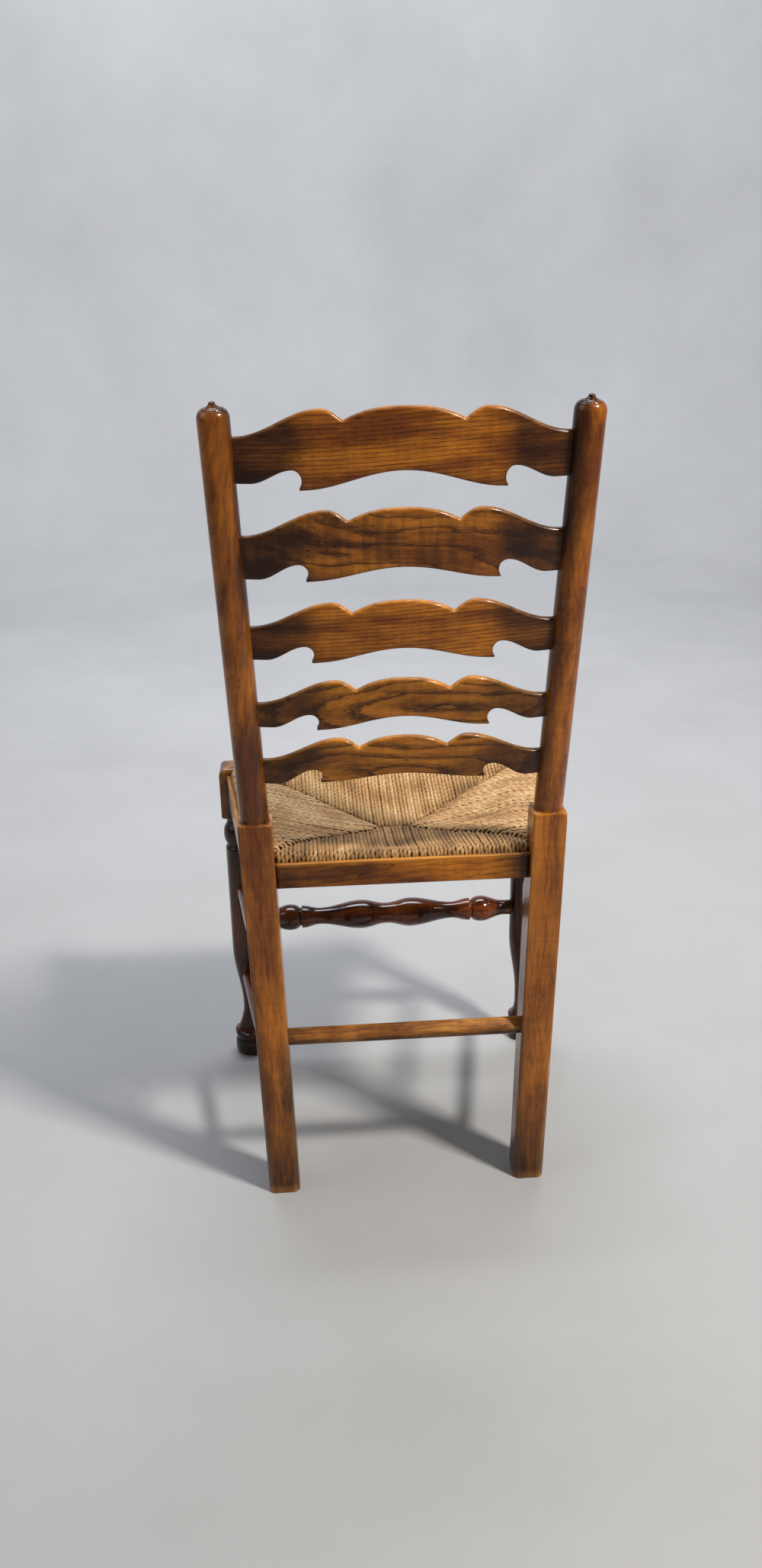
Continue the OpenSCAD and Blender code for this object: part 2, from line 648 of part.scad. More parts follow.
bevel_side = rush_bevel * sqrt(2);
module edge_bevel(y) for (z = [rush_bottom, seat_h]) translate([0, y, z]) rotate([45, 0, 0])
    cube([2 * leg_span, bevel_side, bevel_side], center = true);
module side_bevel() side_line() for (z = [rush_bottom, seat_h])
    translate([side_in, -side_len / 2, z]) rotate([0, 45, 0])
    cube([bevel_side, 2 * side_len, bevel_side], center = true);

module rush_body() difference() {
    union() {
        both_sides() translate([0, 0, rush_bottom]) linear_extrude(seat_h - rush_bottom) rush_plan();
        belly(0);
    }
    dish(0);
    edge_bevel(rear_face_y - seat_clear);
    edge_bevel(front_face_y + seat_clear);
    both_sides() side_bevel();
    both_sides() post_block();
    both_sides() leg_block();
}
padding_lip = 5;        // how much higher the stuffing is at its edge than in its middle
padding_turn = 3;       // how much higher its underside is at its edge
padding_clear = 1;      // spare rush under it
padding_r = hollow_r - rail_t - 2 * rush_t;
padding_high = seat_h - seat_sag + padding_lip - rush_t;
padding_low = rush_bottom - seat_belly + rush_t + padding_clear;
module padding_body() translate([0, seat_mid_y, 0]) rotate_extrude()
    polygon([[0, padding_low], [padding_r, padding_low + padding_turn], [padding_r, padding_high],
        [padding_r / 2, padding_high - 0.6 * padding_lip], [0, padding_high - padding_lip]]);

module rush_seat() color(gold_rush) chair() difference() {
    rush_body();
    rear_rail_bar();
    front_rail_bar();
    both_sides() side_rail_bar();
    padding_body();
    rear_pins(fit_gap);
    front_pins(fit_gap);
    both_sides() side_pins(fit_gap);
}
module rush_padding() color("#a8894f") chair() padding_body();

// ---- Stretchers ----

// The front stretcher's turned features, as distances from its middle and back from its end
vase_at = 37;
slender_at = 100;
ring_back = 65;
ring_w = 2;
ring_groove = 3.5;      // depth of the groove beside the ring
bulb_back = 45;
bulb_len = 16;
bulb_tail = 12;
saddle = 4;             // length left past the end for the leg's round to cut away
// Half of the front stretcher, from its middle to where it meets the leg
function front_stretcher_half() = let (end = front_reach, ring_at = end - ring_back,
        bulb_at = end - bulb_back, narrow_at = slender_at + (end - ring_back - 125) / 2) concat(
    eased(waist_r, vase_r, 0, vase_at, 8),
    eased(vase_r, slender_r, vase_at, narrow_at, 12),
    eased(slender_r, ring_r, narrow_at, ring_at, 5),
    [[ring_r, ring_at + ring_w], [ring_r - ring_groove, ring_at + 1.5 * ring_w],
     [ring_r - ring_groove, ring_at + 2.5 * ring_w]],
    quarter([stretcher_end_r + 1, bulb_at], [bulb_r - stretcher_end_r - 1, bulb_len], -75, 0, 7),
    eased(bulb_r, stretcher_end_r, bulb_at, end - bulb_tail, 8),
    [[stretcher_end_r, end + saddle]]);
module front_stretcher() color(dark_oak) chair() {
    difference() {
        translate([0, -seat_run, front_stretcher_z]) rotate([0, 90, 0])
            for (side = [0, 1]) mirror([0, 0, side]) rotate_extrude()
            polygon(concat([[0, 0]], front_stretcher_half(), [[0, front_reach + saddle]]));
        both_sides() leg_turning();
    }
    front_stretcher_tenons(0);
}

// Its upper bevels are twice as wide as its lower ones
module eight_sided_bar(d, flat, half) rotate([90, 0, 90]) linear_extrude(2 * half, center = true)
    polygon([[flat - d / 2, d / 2], [d / 2 - flat, d / 2],
        [d / 2, d / 2 - flat], [d / 2, flat / 2 - d / 2],
        [d / 2 - flat / 2, -d / 2], [flat / 2 - d / 2, -d / 2],
        [-d / 2, flat / 2 - d / 2], [-d / 2, d / 2 - flat]]);
module rear_stretcher() color(oak) chair() {
    difference() {
        translate([0, 0, rear_stretcher_z])
            eight_sided_bar(rear_stretcher_d, rear_stretcher_flat, post_x(rear_stretcher_z));
        both_sides() post_block();
    }
    rear_stretcher_tenons(0);
}

plain_end = 8;          // length at each end that isn't tapered, and that the leg's round cuts into
module side_stretcher(z) chair() {
    length = norm(side_ends(z)[1] - side_ends(z)[0]);
    end_r = side_stretcher_end_d / 2;
    mid_r = side_stretcher_d / 2;
    difference() {
        side_stretcher_line(z) rotate_extrude() polygon(concat([[0, -plain_end], [end_r, -plain_end]],
            eased(end_r, mid_r, plain_end, length / 2, 10),
            eased(mid_r, end_r, length / 2, length - plain_end, 10),
            [[end_r, length + plain_end], [0, length + plain_end]]));
        post_block();
        leg_turning();
    }
    side_stretcher_tenons(z, 0);
}
module upper_left_stretcher() color(dark_oak) side_stretcher(upper_side_z);
module lower_left_stretcher() color(dark_oak) side_stretcher(lower_side_z);
module upper_right_stretcher() color(dark_oak) mirror([1, 0, 0]) side_stretcher(upper_side_z);
module lower_right_stretcher() color(dark_oak) mirror([1, 0, 0]) side_stretcher(lower_side_z);

left_back_post();
right_back_post();
left_front_leg();
right_front_leg();
top_slat();
upper_slat();
middle_slat();
lower_slat();
bottom_slat();
front_seat_rail();
rear_seat_rail();
left_seat_rail();
right_seat_rail();
rush_seat();
rush_padding();
front_edge_strip();
rear_edge_strip();
left_edge_strip();
right_edge_strip();
front_stretcher();
rear_stretcher();
upper_left_stretcher();
lower_left_stretcher();
upper_right_stretcher();
lower_right_stretcher();
edge_strip_pins();
slat_pegs();
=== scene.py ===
"""Looks of a ladder-back dining chair with a woven rush seat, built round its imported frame.

Lengths in this file are millimetres unless a name says otherwise, and meshes are written in metres.
+Z is up, +Y is the back of the chair and +X is the sitter's left.
"""

import logging
import math
from dataclasses import dataclass, field
from enum import Enum
from typing import Dict, List, Optional, Sequence, Tuple

import bpy
import numpy as np
from mathutils import Matrix, Vector


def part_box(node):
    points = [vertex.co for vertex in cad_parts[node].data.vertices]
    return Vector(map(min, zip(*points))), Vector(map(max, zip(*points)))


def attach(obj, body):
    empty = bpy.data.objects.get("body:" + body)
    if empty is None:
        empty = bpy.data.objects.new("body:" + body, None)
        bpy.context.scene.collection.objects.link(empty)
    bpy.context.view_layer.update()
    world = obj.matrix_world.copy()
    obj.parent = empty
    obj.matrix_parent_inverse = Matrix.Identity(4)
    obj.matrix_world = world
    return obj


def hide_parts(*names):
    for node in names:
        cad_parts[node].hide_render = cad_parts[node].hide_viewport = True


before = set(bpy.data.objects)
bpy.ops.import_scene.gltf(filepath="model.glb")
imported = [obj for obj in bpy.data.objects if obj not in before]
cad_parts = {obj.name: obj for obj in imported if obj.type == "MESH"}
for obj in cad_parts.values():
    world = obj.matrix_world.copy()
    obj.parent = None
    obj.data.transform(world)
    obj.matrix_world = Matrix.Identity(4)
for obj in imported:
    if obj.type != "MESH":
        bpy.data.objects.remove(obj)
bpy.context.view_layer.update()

MM = 0.001
BODY = "root"
LOG = logging.getLogger("ladder_back_chair")
Array = np.ndarray
Attributes = Dict[str, Array]


# ---- Small shared mathematics ----


def linear(hex_colour: str) -> Tuple[float, float, float, float]:
    """Turns an sRGB colour written as hex into linear red, green, blue and an alpha of 1.

    Args:
        hex_colour: Six hex digits after a hash.

    Returns:
        Four linear values from 0 to 1.
    """
    channels = [int(hex_colour[i:i + 2], 16) / 255 for i in (1, 3, 5)]
    values = [c / 12.92 if c <= 0.04045 else ((c + 0.055) / 1.055) ** 2.4 for c in channels]
    return values[0], values[1], values[2], 1.0


def smooth(low: float, high: float, value: Array) -> Array:
    """Cubic step that is 0 at low and 1 at high, and runs the other way when high is the smaller."""
    t = np.clip((np.asarray(value, float) - low) / (high - low), 0, 1)
    return t * t * (3 - 2 * t)


def swing(t: Array) -> Array:
    """Half a cosine wave that rises from 0 at t = 0 to 1 at t = 1."""
    return (1 - np.cos(np.pi * np.asarray(t, float))) / 2


def ripple(x: Array, y: Array, seed: int) -> Array:
    """Slow unevenness from -1 to 1: the mean of five sine waves that cross at seeded angles.

    Args:
        x: First coordinate, in units of the shortest wave.
        y: Second coordinate, in the same units.
        seed: Number that fixes the waves' angles and phases.

    Returns:
        An array of the broadcast shape of x and y.
    """
    draws = np.random.default_rng(seed).uniform(0, 2 * np.pi, (5, 2))
    total = 0.0
    for k, (angle, phase) in enumerate(draws):
        total = total + np.sin((x * np.cos(angle) + y * np.sin(angle)) / (1 + 0.6 * k) + phase)
    return total / 5


def soft_polygon(theta: Array, faces: Array, reach: Array, sharp: float) -> Array:
    """Polar radius of a convex polygon with softened corners.

    One over r to the power p is the sum, over the faces that look towards theta, of the cosine between
    theta and the face's normal, over the face's distance, to the power p.

    Args:
        theta: Angles of shape (n,).
        faces: Angles of the face normals, of shape (k,).
        reach: Distances of the faces, of shape (m, k), one line for each row of the surface.
        sharp: The power p. A larger one gives crisper corners.

    Returns:
        Radii of shape (m, n).
    """
    towards = np.maximum(np.cos(theta[None, :] - faces[:, None]), 0.0)
    terms = (towards[None, :, :] / reach[:, :, None]) ** sharp
    return terms.sum(axis=1) ** (-1 / sharp)


def corner_angles(coarse: int = 7, fine: int = 18, spread: float = 14.0) -> Array:
    """Angles once round a square, crowded near its four corners so that their rounds stay smooth.

    Args:
        coarse: Points on each stretch between corners.
        fine: Points round each corner.
        spread: How many degrees on either side of a corner are crowded.

    Returns:
        The angles in radians, from 0 to just under a full turn.
    """
    flat = np.linspace(0, 45 - spread, coarse, endpoint=False)
    crowded = np.linspace(45 - spread, 45 + spread, fine, endpoint=False)
    rest = np.linspace(45 + spread, 90, coarse, endpoint=False)
    quarter = np.concatenate([flat, crowded, rest])
    return np.radians(np.concatenate([quarter + 90 * k for k in range(4)]))


# ---- Meshes ----


def signed_volume(points: Array, faces: Array) -> float:
    """Volume inside quads, which is negative when they look inwards."""
    a, b, c, d = (points[faces[:, k]] for k in range(4))
    return float((np.einsum("ij,ij->i", a, np.cross(b, c)) + np.einsum("ij,ij->i", a, np.cross(c, d))).sum())


def loft(name: str, rings: Array, attributes: Attributes) -> bpy.types.Mesh:
    """Makes a mesh of closed tubes from rings of points, each tube shut by a fan at both ends.

    A tube is a function of two parameters: the ring along it and the point round it. Neighbouring rings are
    joined by quads, and the ends are closed on the mean of the last ring.

    Args:
        name: Name of the mesh.
        rings: Points in millimetres, of shape (tubes, rings, points round, 3).
        attributes: Values for each point, of shape (tubes, rings, points round) or the same with 3 at the end.

    Returns:
        The mesh, in metres, with its faces outwards and shaded smooth.
    """
    tubes, count, around = rings.shape[:3]
    index = np.arange(tubes * count * around).reshape(tubes, count, around)
    after = np.roll(index, -1, axis=2)
    quads = np.stack([index[:, :-1], after[:, :-1], after[:, 1:], index[:, 1:]], axis=-1).reshape(-1, 4)
    poles = np.arange(2 * tubes).reshape(tubes, 2) + index.size
    first = np.stack([after[:, 0], index[:, 0], np.broadcast_to(poles[:, :1], index[:, 0].shape)], axis=-1)
    last = np.stack([index[:, -1], after[:, -1], np.broadcast_to(poles[:, 1:], index[:, -1].shape)], axis=-1)
    fans = np.concatenate([first.reshape(-1, 3), last.reshape(-1, 3)])

    def with_poles(values: Array, width: int) -> Array:
        """Adds each tube's two pole values after the values of its rings."""
        flat = values.reshape(tubes, count, around, width)
        ends = np.stack([flat[:, 0].mean(axis=1), flat[:, -1].mean(axis=1)], axis=1)
        return np.concatenate([flat.reshape(-1, width), ends.reshape(-1, width)])

    points = with_poles(rings, 3) * MM
    if signed_volume(points, quads) < 0:
        quads, fans = quads[:, ::-1], fans[:, ::-1]
    mesh = bpy.data.meshes.new(name)
    mesh.vertices.add(len(points))
    mesh.vertices.foreach_set("co", points.astype(np.float32).ravel())
    corners = np.concatenate([quads.ravel(), fans.ravel()]).astype(np.int32)
    mesh.loops.add(len(corners))
    mesh.loops.foreach_set("vertex_index", corners)
    starts = np.concatenate([np.arange(len(quads)) * 4, len(quads) * 4 + np.arange(len(fans)) * 3])
    mesh.polygons.add(len(starts))
    mesh.polygons.foreach_set("loop_start", starts.astype(np.int32))
    mesh.polygons.foreach_set("use_smooth", np.ones(len(starts), bool))
    mesh.update(calc_edges=True)
    for key, values in attributes.items():
        vector = values.ndim == 4
        layer = mesh.attributes.new(key, "FLOAT_VECTOR" if vector else "FLOAT", "POINT")
        data = with_poles(values, 3 if vector else 1).astype(np.float32)
        layer.data.foreach_set("vector" if vector else "value", data.ravel())
    return mesh


def add_piece(name: str, mesh: bpy.types.Mesh, material: bpy.types.Material,
              stands_for: Sequence[str] = ()) -> bpy.types.Object:
    """Puts a mesh in the scene as a piece of the chair.

    Args:
        name: Name of the piece.
        mesh: Its mesh, in the row frame.
        material: Its finish.
        stands_for: CAD nodes that the piece replaces.

    Returns:
        The new object.
    """
    piece = bpy.data.objects.new(name, mesh)
    bpy.context.scene.collection.objects.link(piece)
    mesh.materials.append(material)
    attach(piece, BODY)
    if stands_for:
        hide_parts(*stands_for)
    LOG.info("%s: %d faces", name, len(mesh.polygons))
    return piece


# ---- Materials ----


def add_node(tree: bpy.types.NodeTree, kind: str, settings: Optional[dict] = None,
             inputs: Optional[dict] = None) -> bpy.types.Node:
    """Adds one node with its settings and links.

    Args:
        tree: The node tree.
        kind: The node's type name.
        settings: Property values by name. A dotted name reaches into a property.
        inputs: Socket values or output sockets to link, by input name or number.

    Returns:
        The new node.
    """
    node = tree.nodes.new(kind)
    for key, value in (settings or {}).items():
        owner = node
        *path, last = key.split(".")
        for part in path:
            owner = getattr(owner, part)
        setattr(owner, last, value)
    for key, value in (inputs or {}).items():
        if isinstance(value, bpy.types.NodeSocket):
            tree.links.new(value, node.inputs[key])
        else:
            node.inputs[key].default_value = value
    return node


def set_ramp(node: bpy.types.Node, stops: Sequence[Tuple[float, str]]) -> bpy.types.NodeSocket:
    """Gives a colour ramp its stops.

    Args:
        node: The ramp.
        stops: Pairs of place, from 0 to 1, and hex colour, in rising order.

    Returns:
        The ramp's colour output.
    """
    elements = node.color_ramp.elements
    while len(elements) > 1:
        elements.remove(elements[-1])
    elements[0].position = stops[0][0]
    elements[0].color = linear(stops[0][1])
    for place, colour in stops[1:]:
        elements.new(place).color = linear(colour)
    return node.outputs["Color"]


def new_material(name: str) -> Tuple[bpy.types.Material, bpy.types.NodeTree, bpy.types.Node]:
    """Makes a material that holds only a surface shader and its output.

    Args:
        name: Name of the material.

    Returns:
        The material, its node tree and the shader.
    """
    material = bpy.data.materials.new(name)
    material.use_nodes = True
    tree = material.node_tree
    tree.nodes.clear()
    shader = add_node(tree, "ShaderNodeBsdfPrincipled")
    add_node(tree, "ShaderNodeOutputMaterial", inputs={"Surface": shader.outputs["BSDF"]})
    return material, tree, shader


@dataclass(frozen=True)
class StainedOak:
    """Oak, planed or turned, stained dark and polished: open grain under a glossy, worn coat.

    The eye sees dark rings and short dark pores over orange brown, near black where hands and dusters
    don't reach, and golden where the stain has rubbed through along the edges.
    The pieces carry three attributes: grain (distance along the grain, ring distance and distance across, in
    metres), stain_and_shade (0 to 1, extra darkness: stain, and painted shade under the rear stretcher) and
    wear (0 to 1, rubbed edges).
    """

    name: str
    light: str = "#a55c1c"
    body: str = "#743c14"
    dark: str = "#24110a"
    worn: str = "#c98a3e"
    ring_mm: float = 5.0
    ring_depth: float = 0.5
    ring_edge: float = 0.35
    wander: float = 0.25
    fleck: float = 0.35
    blotch_mm: float = 45.0
    blotch: float = 0.45
    gloss: float = 0.3
    coat: float = 0.5
    relief: float = 0.12
    curl: float = 0.15
    dents: float = 0.5

    def build(self) -> bpy.types.Material:
        """Builds the finish.

        Returns:
            The material.
        """
        material, tree, shader = new_material(self.name)
        where = add_node(tree, "ShaderNodeAttribute", {"attribute_name": "grain"}).outputs["Vector"]
        stain_and_shade = add_node(tree, "ShaderNodeAttribute", {"attribute_name": "stain_and_shade"}).outputs["Fac"]
        wear = add_node(tree, "ShaderNodeAttribute", {"attribute_name": "wear"}).outputs["Fac"]
        # uneven stain in patches; pores 1.1 mm wide and 17 mm long, wider than real ones so that they show;
        # and streaks 4 mm wide and 70 mm long
        patch = self._spread(tree, self._noise(tree, where, 400 / self.blotch_mm, 1400 / self.blotch_mm, 5.0),
                             0.38, 0.64)
        pore = self._spread(tree, self._noise(tree, where, 60.0, 900.0, 2.0), 0.62, 0.44)
        streak = self._spread(tree, self._noise(tree, where, 14.0, 260.0, 3.0), 0.40, 0.66)
        ring = self._rings(tree, where)
        band = self._sum(tree, ring, 0.55, self._product(tree, ring, pore), 0.75)
        warm = add_node(tree, "ShaderNodeMix", {"data_type": "RGBA"},
                        {0: patch, 6: linear(self.body), 7: linear(self.light)}).outputs[2]
        ringed = self._darken(tree, warm, band, self.ring_depth)
        flecked = self._darken(tree, ringed, self._sum(tree, pore, 0.6, streak, 0.6), self.fleck)
        uneven = self._sum(tree, patch, -self.blotch, stain_and_shade, 1.0, 0.5 * self.blotch)
        # a curl that crosses the grain every 8 mm, and dark dents 5 mm wide and 13 mm long
        curled = self._spread(tree, self._noise(tree, where, 130.0, 14.0, 1.0), 0.4, 0.65)
        dent = self._spread(tree, self._noise(tree, where, 75.0, 190.0, 1.0), 0.70, 0.76)
        rippled = self._darken(tree, flecked, self._sum(tree, curled, self.curl, dent, self.dents), 1.0)
        # the extra darkness mixed in here is stain, and under the rear stretcher also painted shade
        stained_and_shaded = self._darken(tree, rippled, uneven, 0.93)
        rub = self._product(tree, wear, self._sum(tree, patch, 0.6, streak, -0.35, 0.5))
        finish = add_node(tree, "ShaderNodeMix", {"data_type": "RGBA"},
                          {0: rub, 6: stained_and_shaded, 7: linear(self.worn)}).outputs[2]
        bump = add_node(tree, "ShaderNodeBump", {"invert": True},
                        {"Height": band, "Strength": self.relief, "Distance": 0.0005})
        tree.links.new(finish, shader.inputs["Base Color"])
        tree.links.new(bump.outputs[0], shader.inputs["Normal"])
        shader.inputs["Roughness"].default_value = self.gloss
        shader.inputs["IOR"].default_value = 1.45
        shader.inputs["Specular IOR Level"].default_value = 0.2
        shader.inputs["Coat Weight"].default_value = self.coat
        shader.inputs["Coat Roughness"].default_value = 0.1
        return material

    def _noise(self, tree: bpy.types.NodeTree, where: bpy.types.NodeSocket, along: float, across: float,
               detail: float) -> bpy.types.NodeSocket:
        """Adds noise that is drawn out along the grain.

        Args:
            tree: The node tree.
            where: The grain attribute.
            along: Features in a metre along the grain.
            across: Features in a metre across it.
            detail: Octaves of finer noise.

        Returns:
            The noise, from 0 to 1 about a mean of 0.5.
        """
        drawn = add_node(tree, "ShaderNodeMapping", inputs={0: where, "Scale": (along, across, across)})
        noise = add_node(tree, "ShaderNodeTexNoise", inputs={"Vector": drawn.outputs[0], "Scale": 1.0,
                                                             "Detail": detail, "Roughness": 0.62})
        return noise.outputs["Fac"]

    def _spread(self, tree: bpy.types.NodeTree, value: bpy.types.NodeSocket, low: float,
                high: float) -> bpy.types.NodeSocket:
        """Stretches a value so that low becomes 0 and high becomes 1."""
        return add_node(tree, "ShaderNodeMapRange", inputs={"Value": value, "From Min": low,
                                                            "From Max": high}).outputs[0]

    def _product(self, tree: bpy.types.NodeTree, first: bpy.types.NodeSocket,
                 second: bpy.types.NodeSocket) -> bpy.types.NodeSocket:
        """Multiplies two values."""
        return add_node(tree, "ShaderNodeMath", {"operation": "MULTIPLY", "use_clamp": True},
                        {0: first, 1: second}).outputs[0]

    def _sum(self, tree: bpy.types.NodeTree, first: bpy.types.NodeSocket, share: float,
             second: bpy.types.NodeSocket, other: float, start: float = 0.0) -> bpy.types.NodeSocket:
        """Adds shares of two values to a start, and keeps the sum from 0 to 1.

        Args:
            tree: The node tree.
            first: One value.
            share: What it is multiplied by.
            second: The other value.
            other: What that is multiplied by.
            start: What both are added to.

        Returns:
            The sum.
        """
        one = add_node(tree, "ShaderNodeMath", {"operation": "MULTIPLY_ADD"}, {0: first, 1: share, 2: start})
        both = add_node(tree, "ShaderNodeMath", {"operation": "MULTIPLY_ADD", "use_clamp": True},
                        {0: second, 1: other, 2: one.outputs[0]})
        return both.outputs[0]

    def _rings(self, tree: bpy.types.NodeTree, where: bpy.types.NodeSocket) -> bpy.types.NodeSocket:
        """Growth rings: the fraction of the ring distance over its spacing, pushed about by two noises.

        A ring starts dark and open-grained, clears to the spacing's plain middle and closes dark again.

        Args:
            tree: The node tree.
            where: The grain attribute.

        Returns:
            Darkness of the ring, from 0 to 1.
        """
        parts = add_node(tree, "ShaderNodeSeparateXYZ", inputs={0: where})
        slow = self._noise(tree, where, 8.0, 30.0, 2.0)
        fine = self._noise(tree, where, 30.0, 200.0, 2.0)
        turns = add_node(tree, "ShaderNodeMath", {"operation": "MULTIPLY"},
                         {0: parts.outputs["Y"], 1: 1000 / self.ring_mm})
        slowly = add_node(tree, "ShaderNodeMath", {"operation": "MULTIPLY_ADD"},
                          {0: slow, 1: self.wander * 8, 2: turns.outputs[0]})
        pushed = add_node(tree, "ShaderNodeMath", {"operation": "MULTIPLY_ADD"},
                          {0: fine, 1: 0.35, 2: slowly.outputs[0]})
        turn = add_node(tree, "ShaderNodeMath", {"operation": "FRACT"}, {0: pushed.outputs[0]})
        edge = self.ring_edge
        return set_ramp(add_node(tree, "ShaderNodeValToRGB", inputs={0: turn.outputs[0]}),
                        [(0.0, "#ffffff"), (0.3 * edge, "#e8e8e8"), (edge, "#707070"), (1.6 * edge, "#202020"),
                         (0.86, "#000000"), (0.94, "#5a5a5a"), (1.0, "#ffffff")])

    def _darken(self, tree: bpy.types.NodeTree, colour: bpy.types.NodeSocket,
                amount: bpy.types.NodeSocket, depth: float) -> bpy.types.NodeSocket:
        """Mixes a colour towards the dark stain colour, which also serves for painted shade.

        Args:
            tree: The node tree.
            colour: The colour.
            amount: Where it is darkened, from 0 to 1.
            depth: How much the darkest places take of the stain.

        Returns:
            The new colour.
        """
        share = add_node(tree, "ShaderNodeMath", {"operation": "MULTIPLY", "use_clamp": True},
                         {0: amount, 1: depth})
        mixed = add_node(tree, "ShaderNodeMix", {"data_type": "RGBA"},
                         {0: share.outputs[0], 6: colour, 7: linear(self.dark)})
        return mixed.outputs[2]


@dataclass(frozen=True)
class TwistedRush:
    """Dried bulrush leaves, dampened and twisted into cord by hand: a dry straw with a faint shine.

    The eye sees golden cords of slightly different ages, with fine fibres that follow the twist and deep
    brown painted shade between them. Attributes: cord (distance along, distance round the twist, cord number, in
    metres), tone (0 to 1, age of the leaf, lowered by painted shade over the rear field and in one band of the
    left field) and crest (0 in the valley between cords and at a cord's end in its seam, 1 on top of one), which
    places the painted shade.
    """

    name: str = "hand_twisted_bulrush"
    pale: str = "#f8dcae"
    straw: str = "#cfa56b"
    # the low end of the tone ramp: old leaves, and also the painted shade of the rear field and of the left
    # field's band
    old_and_shaded: str = "#8c6a40"
    shade: str = "#20140a"

    def build(self) -> bpy.types.Material:
        """Builds the finish.

        Returns:
            The material.
        """
        material, tree, shader = new_material(self.name)
        cord = add_node(tree, "ShaderNodeAttribute", {"attribute_name": "cord"})
        tone = add_node(tree, "ShaderNodeAttribute", {"attribute_name": "tone"})
        crest = add_node(tree, "ShaderNodeAttribute", {"attribute_name": "crest"})
        # fibres about 1.6 mm wide and 16 mm long, along the twist: coarser than real ones, so that they show
        drawn = add_node(tree, "ShaderNodeMapping",
                         inputs={0: cord.outputs["Vector"], "Scale": (60.0, 640.0, 3000.0)})
        fibres = add_node(tree, "ShaderNodeTexNoise", inputs={"Vector": drawn.outputs[0], "Scale": 1.0,
                                                              "Detail": 3.0, "Roughness": 0.6})
        fibre = add_node(tree, "ShaderNodeMapRange",
                         inputs={"Value": fibres.outputs["Fac"], "From Min": 0.3, "From Max": 0.7})
        aged_and_shaded = set_ramp(add_node(tree, "ShaderNodeValToRGB", inputs={0: tone.outputs["Fac"]}),
                        [(0.0, self.old_and_shaded), (0.45, self.straw), (1.0, self.pale)])
        worn = add_node(tree, "ShaderNodeMix", {"data_type": "RGBA", "blend_type": "MULTIPLY"},
                        {0: 0.85, 6: aged_and_shaded, 7: set_ramp(
                            add_node(tree, "ShaderNodeValToRGB", inputs={0: fibre.outputs[0]}),
                            [(0.0, "#5c452a"), (0.4, "#c8b496"), (0.8, "#ffffff")])})
        # painted shade: where crest is low, in the valleys between cords and at their ends in the seams, the
        # colour is mixed towards the shade colour
        deep = add_node(tree, "ShaderNodeMapRange",
                        inputs={"Value": crest.outputs["Fac"], "From Min": 0.0, "From Max": 0.62})
        shaded = add_node(tree, "ShaderNodeMix", {"data_type": "RGBA"},
                          {0: deep.outputs[0], 6: linear(self.shade), 7: worn.outputs[2]})
        bump = add_node(tree, "ShaderNodeBump", inputs={"Height": fibre.outputs[0], "Strength": 0.5,
                                                        "Distance": 0.0006})
        tree.links.new(shaded.outputs[2], shader.inputs["Base Color"])
        tree.links.new(bump.outputs[0], shader.inputs["Normal"])
        shader.inputs["Roughness"].default_value = 0.5
        shader.inputs["IOR"].default_value = 1.45
        return material


@dataclass(frozen=True)
class PlainMottled:
    """A dull surface with a slow mottle, for what is hardly seen: sawn wood, loose stuffing, iron or floor."""

    name: str
    first: str
    second: str
    patch_mm: float
    roughness: float
    metallic: float = 0.0
    stretch: Tuple[float, float, float] = (1.0, 1.0, 1.0)

    def build(self) -> bpy.types.Material:
        """Builds the finish.

        Returns:
            The material.
        """
        material, tree, shader = new_material(self.name)
        place = add_node(tree, "ShaderNodeTexCoord")
        scale = tuple(1000 / self.patch_mm / s for s in self.stretch)
        drawn = add_node(tree, "ShaderNodeMapping", inputs={0: place.outputs["Object"], "Scale": scale})
        noise = add_node(tree, "ShaderNodeTexNoise", inputs={"Vector": drawn.outputs[0], "Scale": 1.0,
                                                             "Detail": 6.0, "Roughness": 0.65})
        spread = add_node(tree, "ShaderNodeMapRange",
                          inputs={"Value": noise.outputs["Fac"], "From Min": 0.3, "From Max": 0.7})
        mixed = add_node(tree, "ShaderNodeMix", {"data_type": "RGBA"},
                         {0: spread.outputs[0], 6: linear(self.first), 7: linear(self.second)})
        bump = add_node(tree, "ShaderNodeBump", inputs={"Height": noise.outputs["Fac"], "Strength": 0.25,
                                                        "Distance": 0.001})
        tree.links.new(mixed.outputs[2], shader.inputs["Base Color"])
        tree.links.new(bump.outputs[0], shader.inputs["Normal"])
        shader.inputs["Roughness"].default_value = self.roughness
        shader.inputs["Metallic"].default_value = self.metallic
        return material


# ---- The chair's shared lines ----


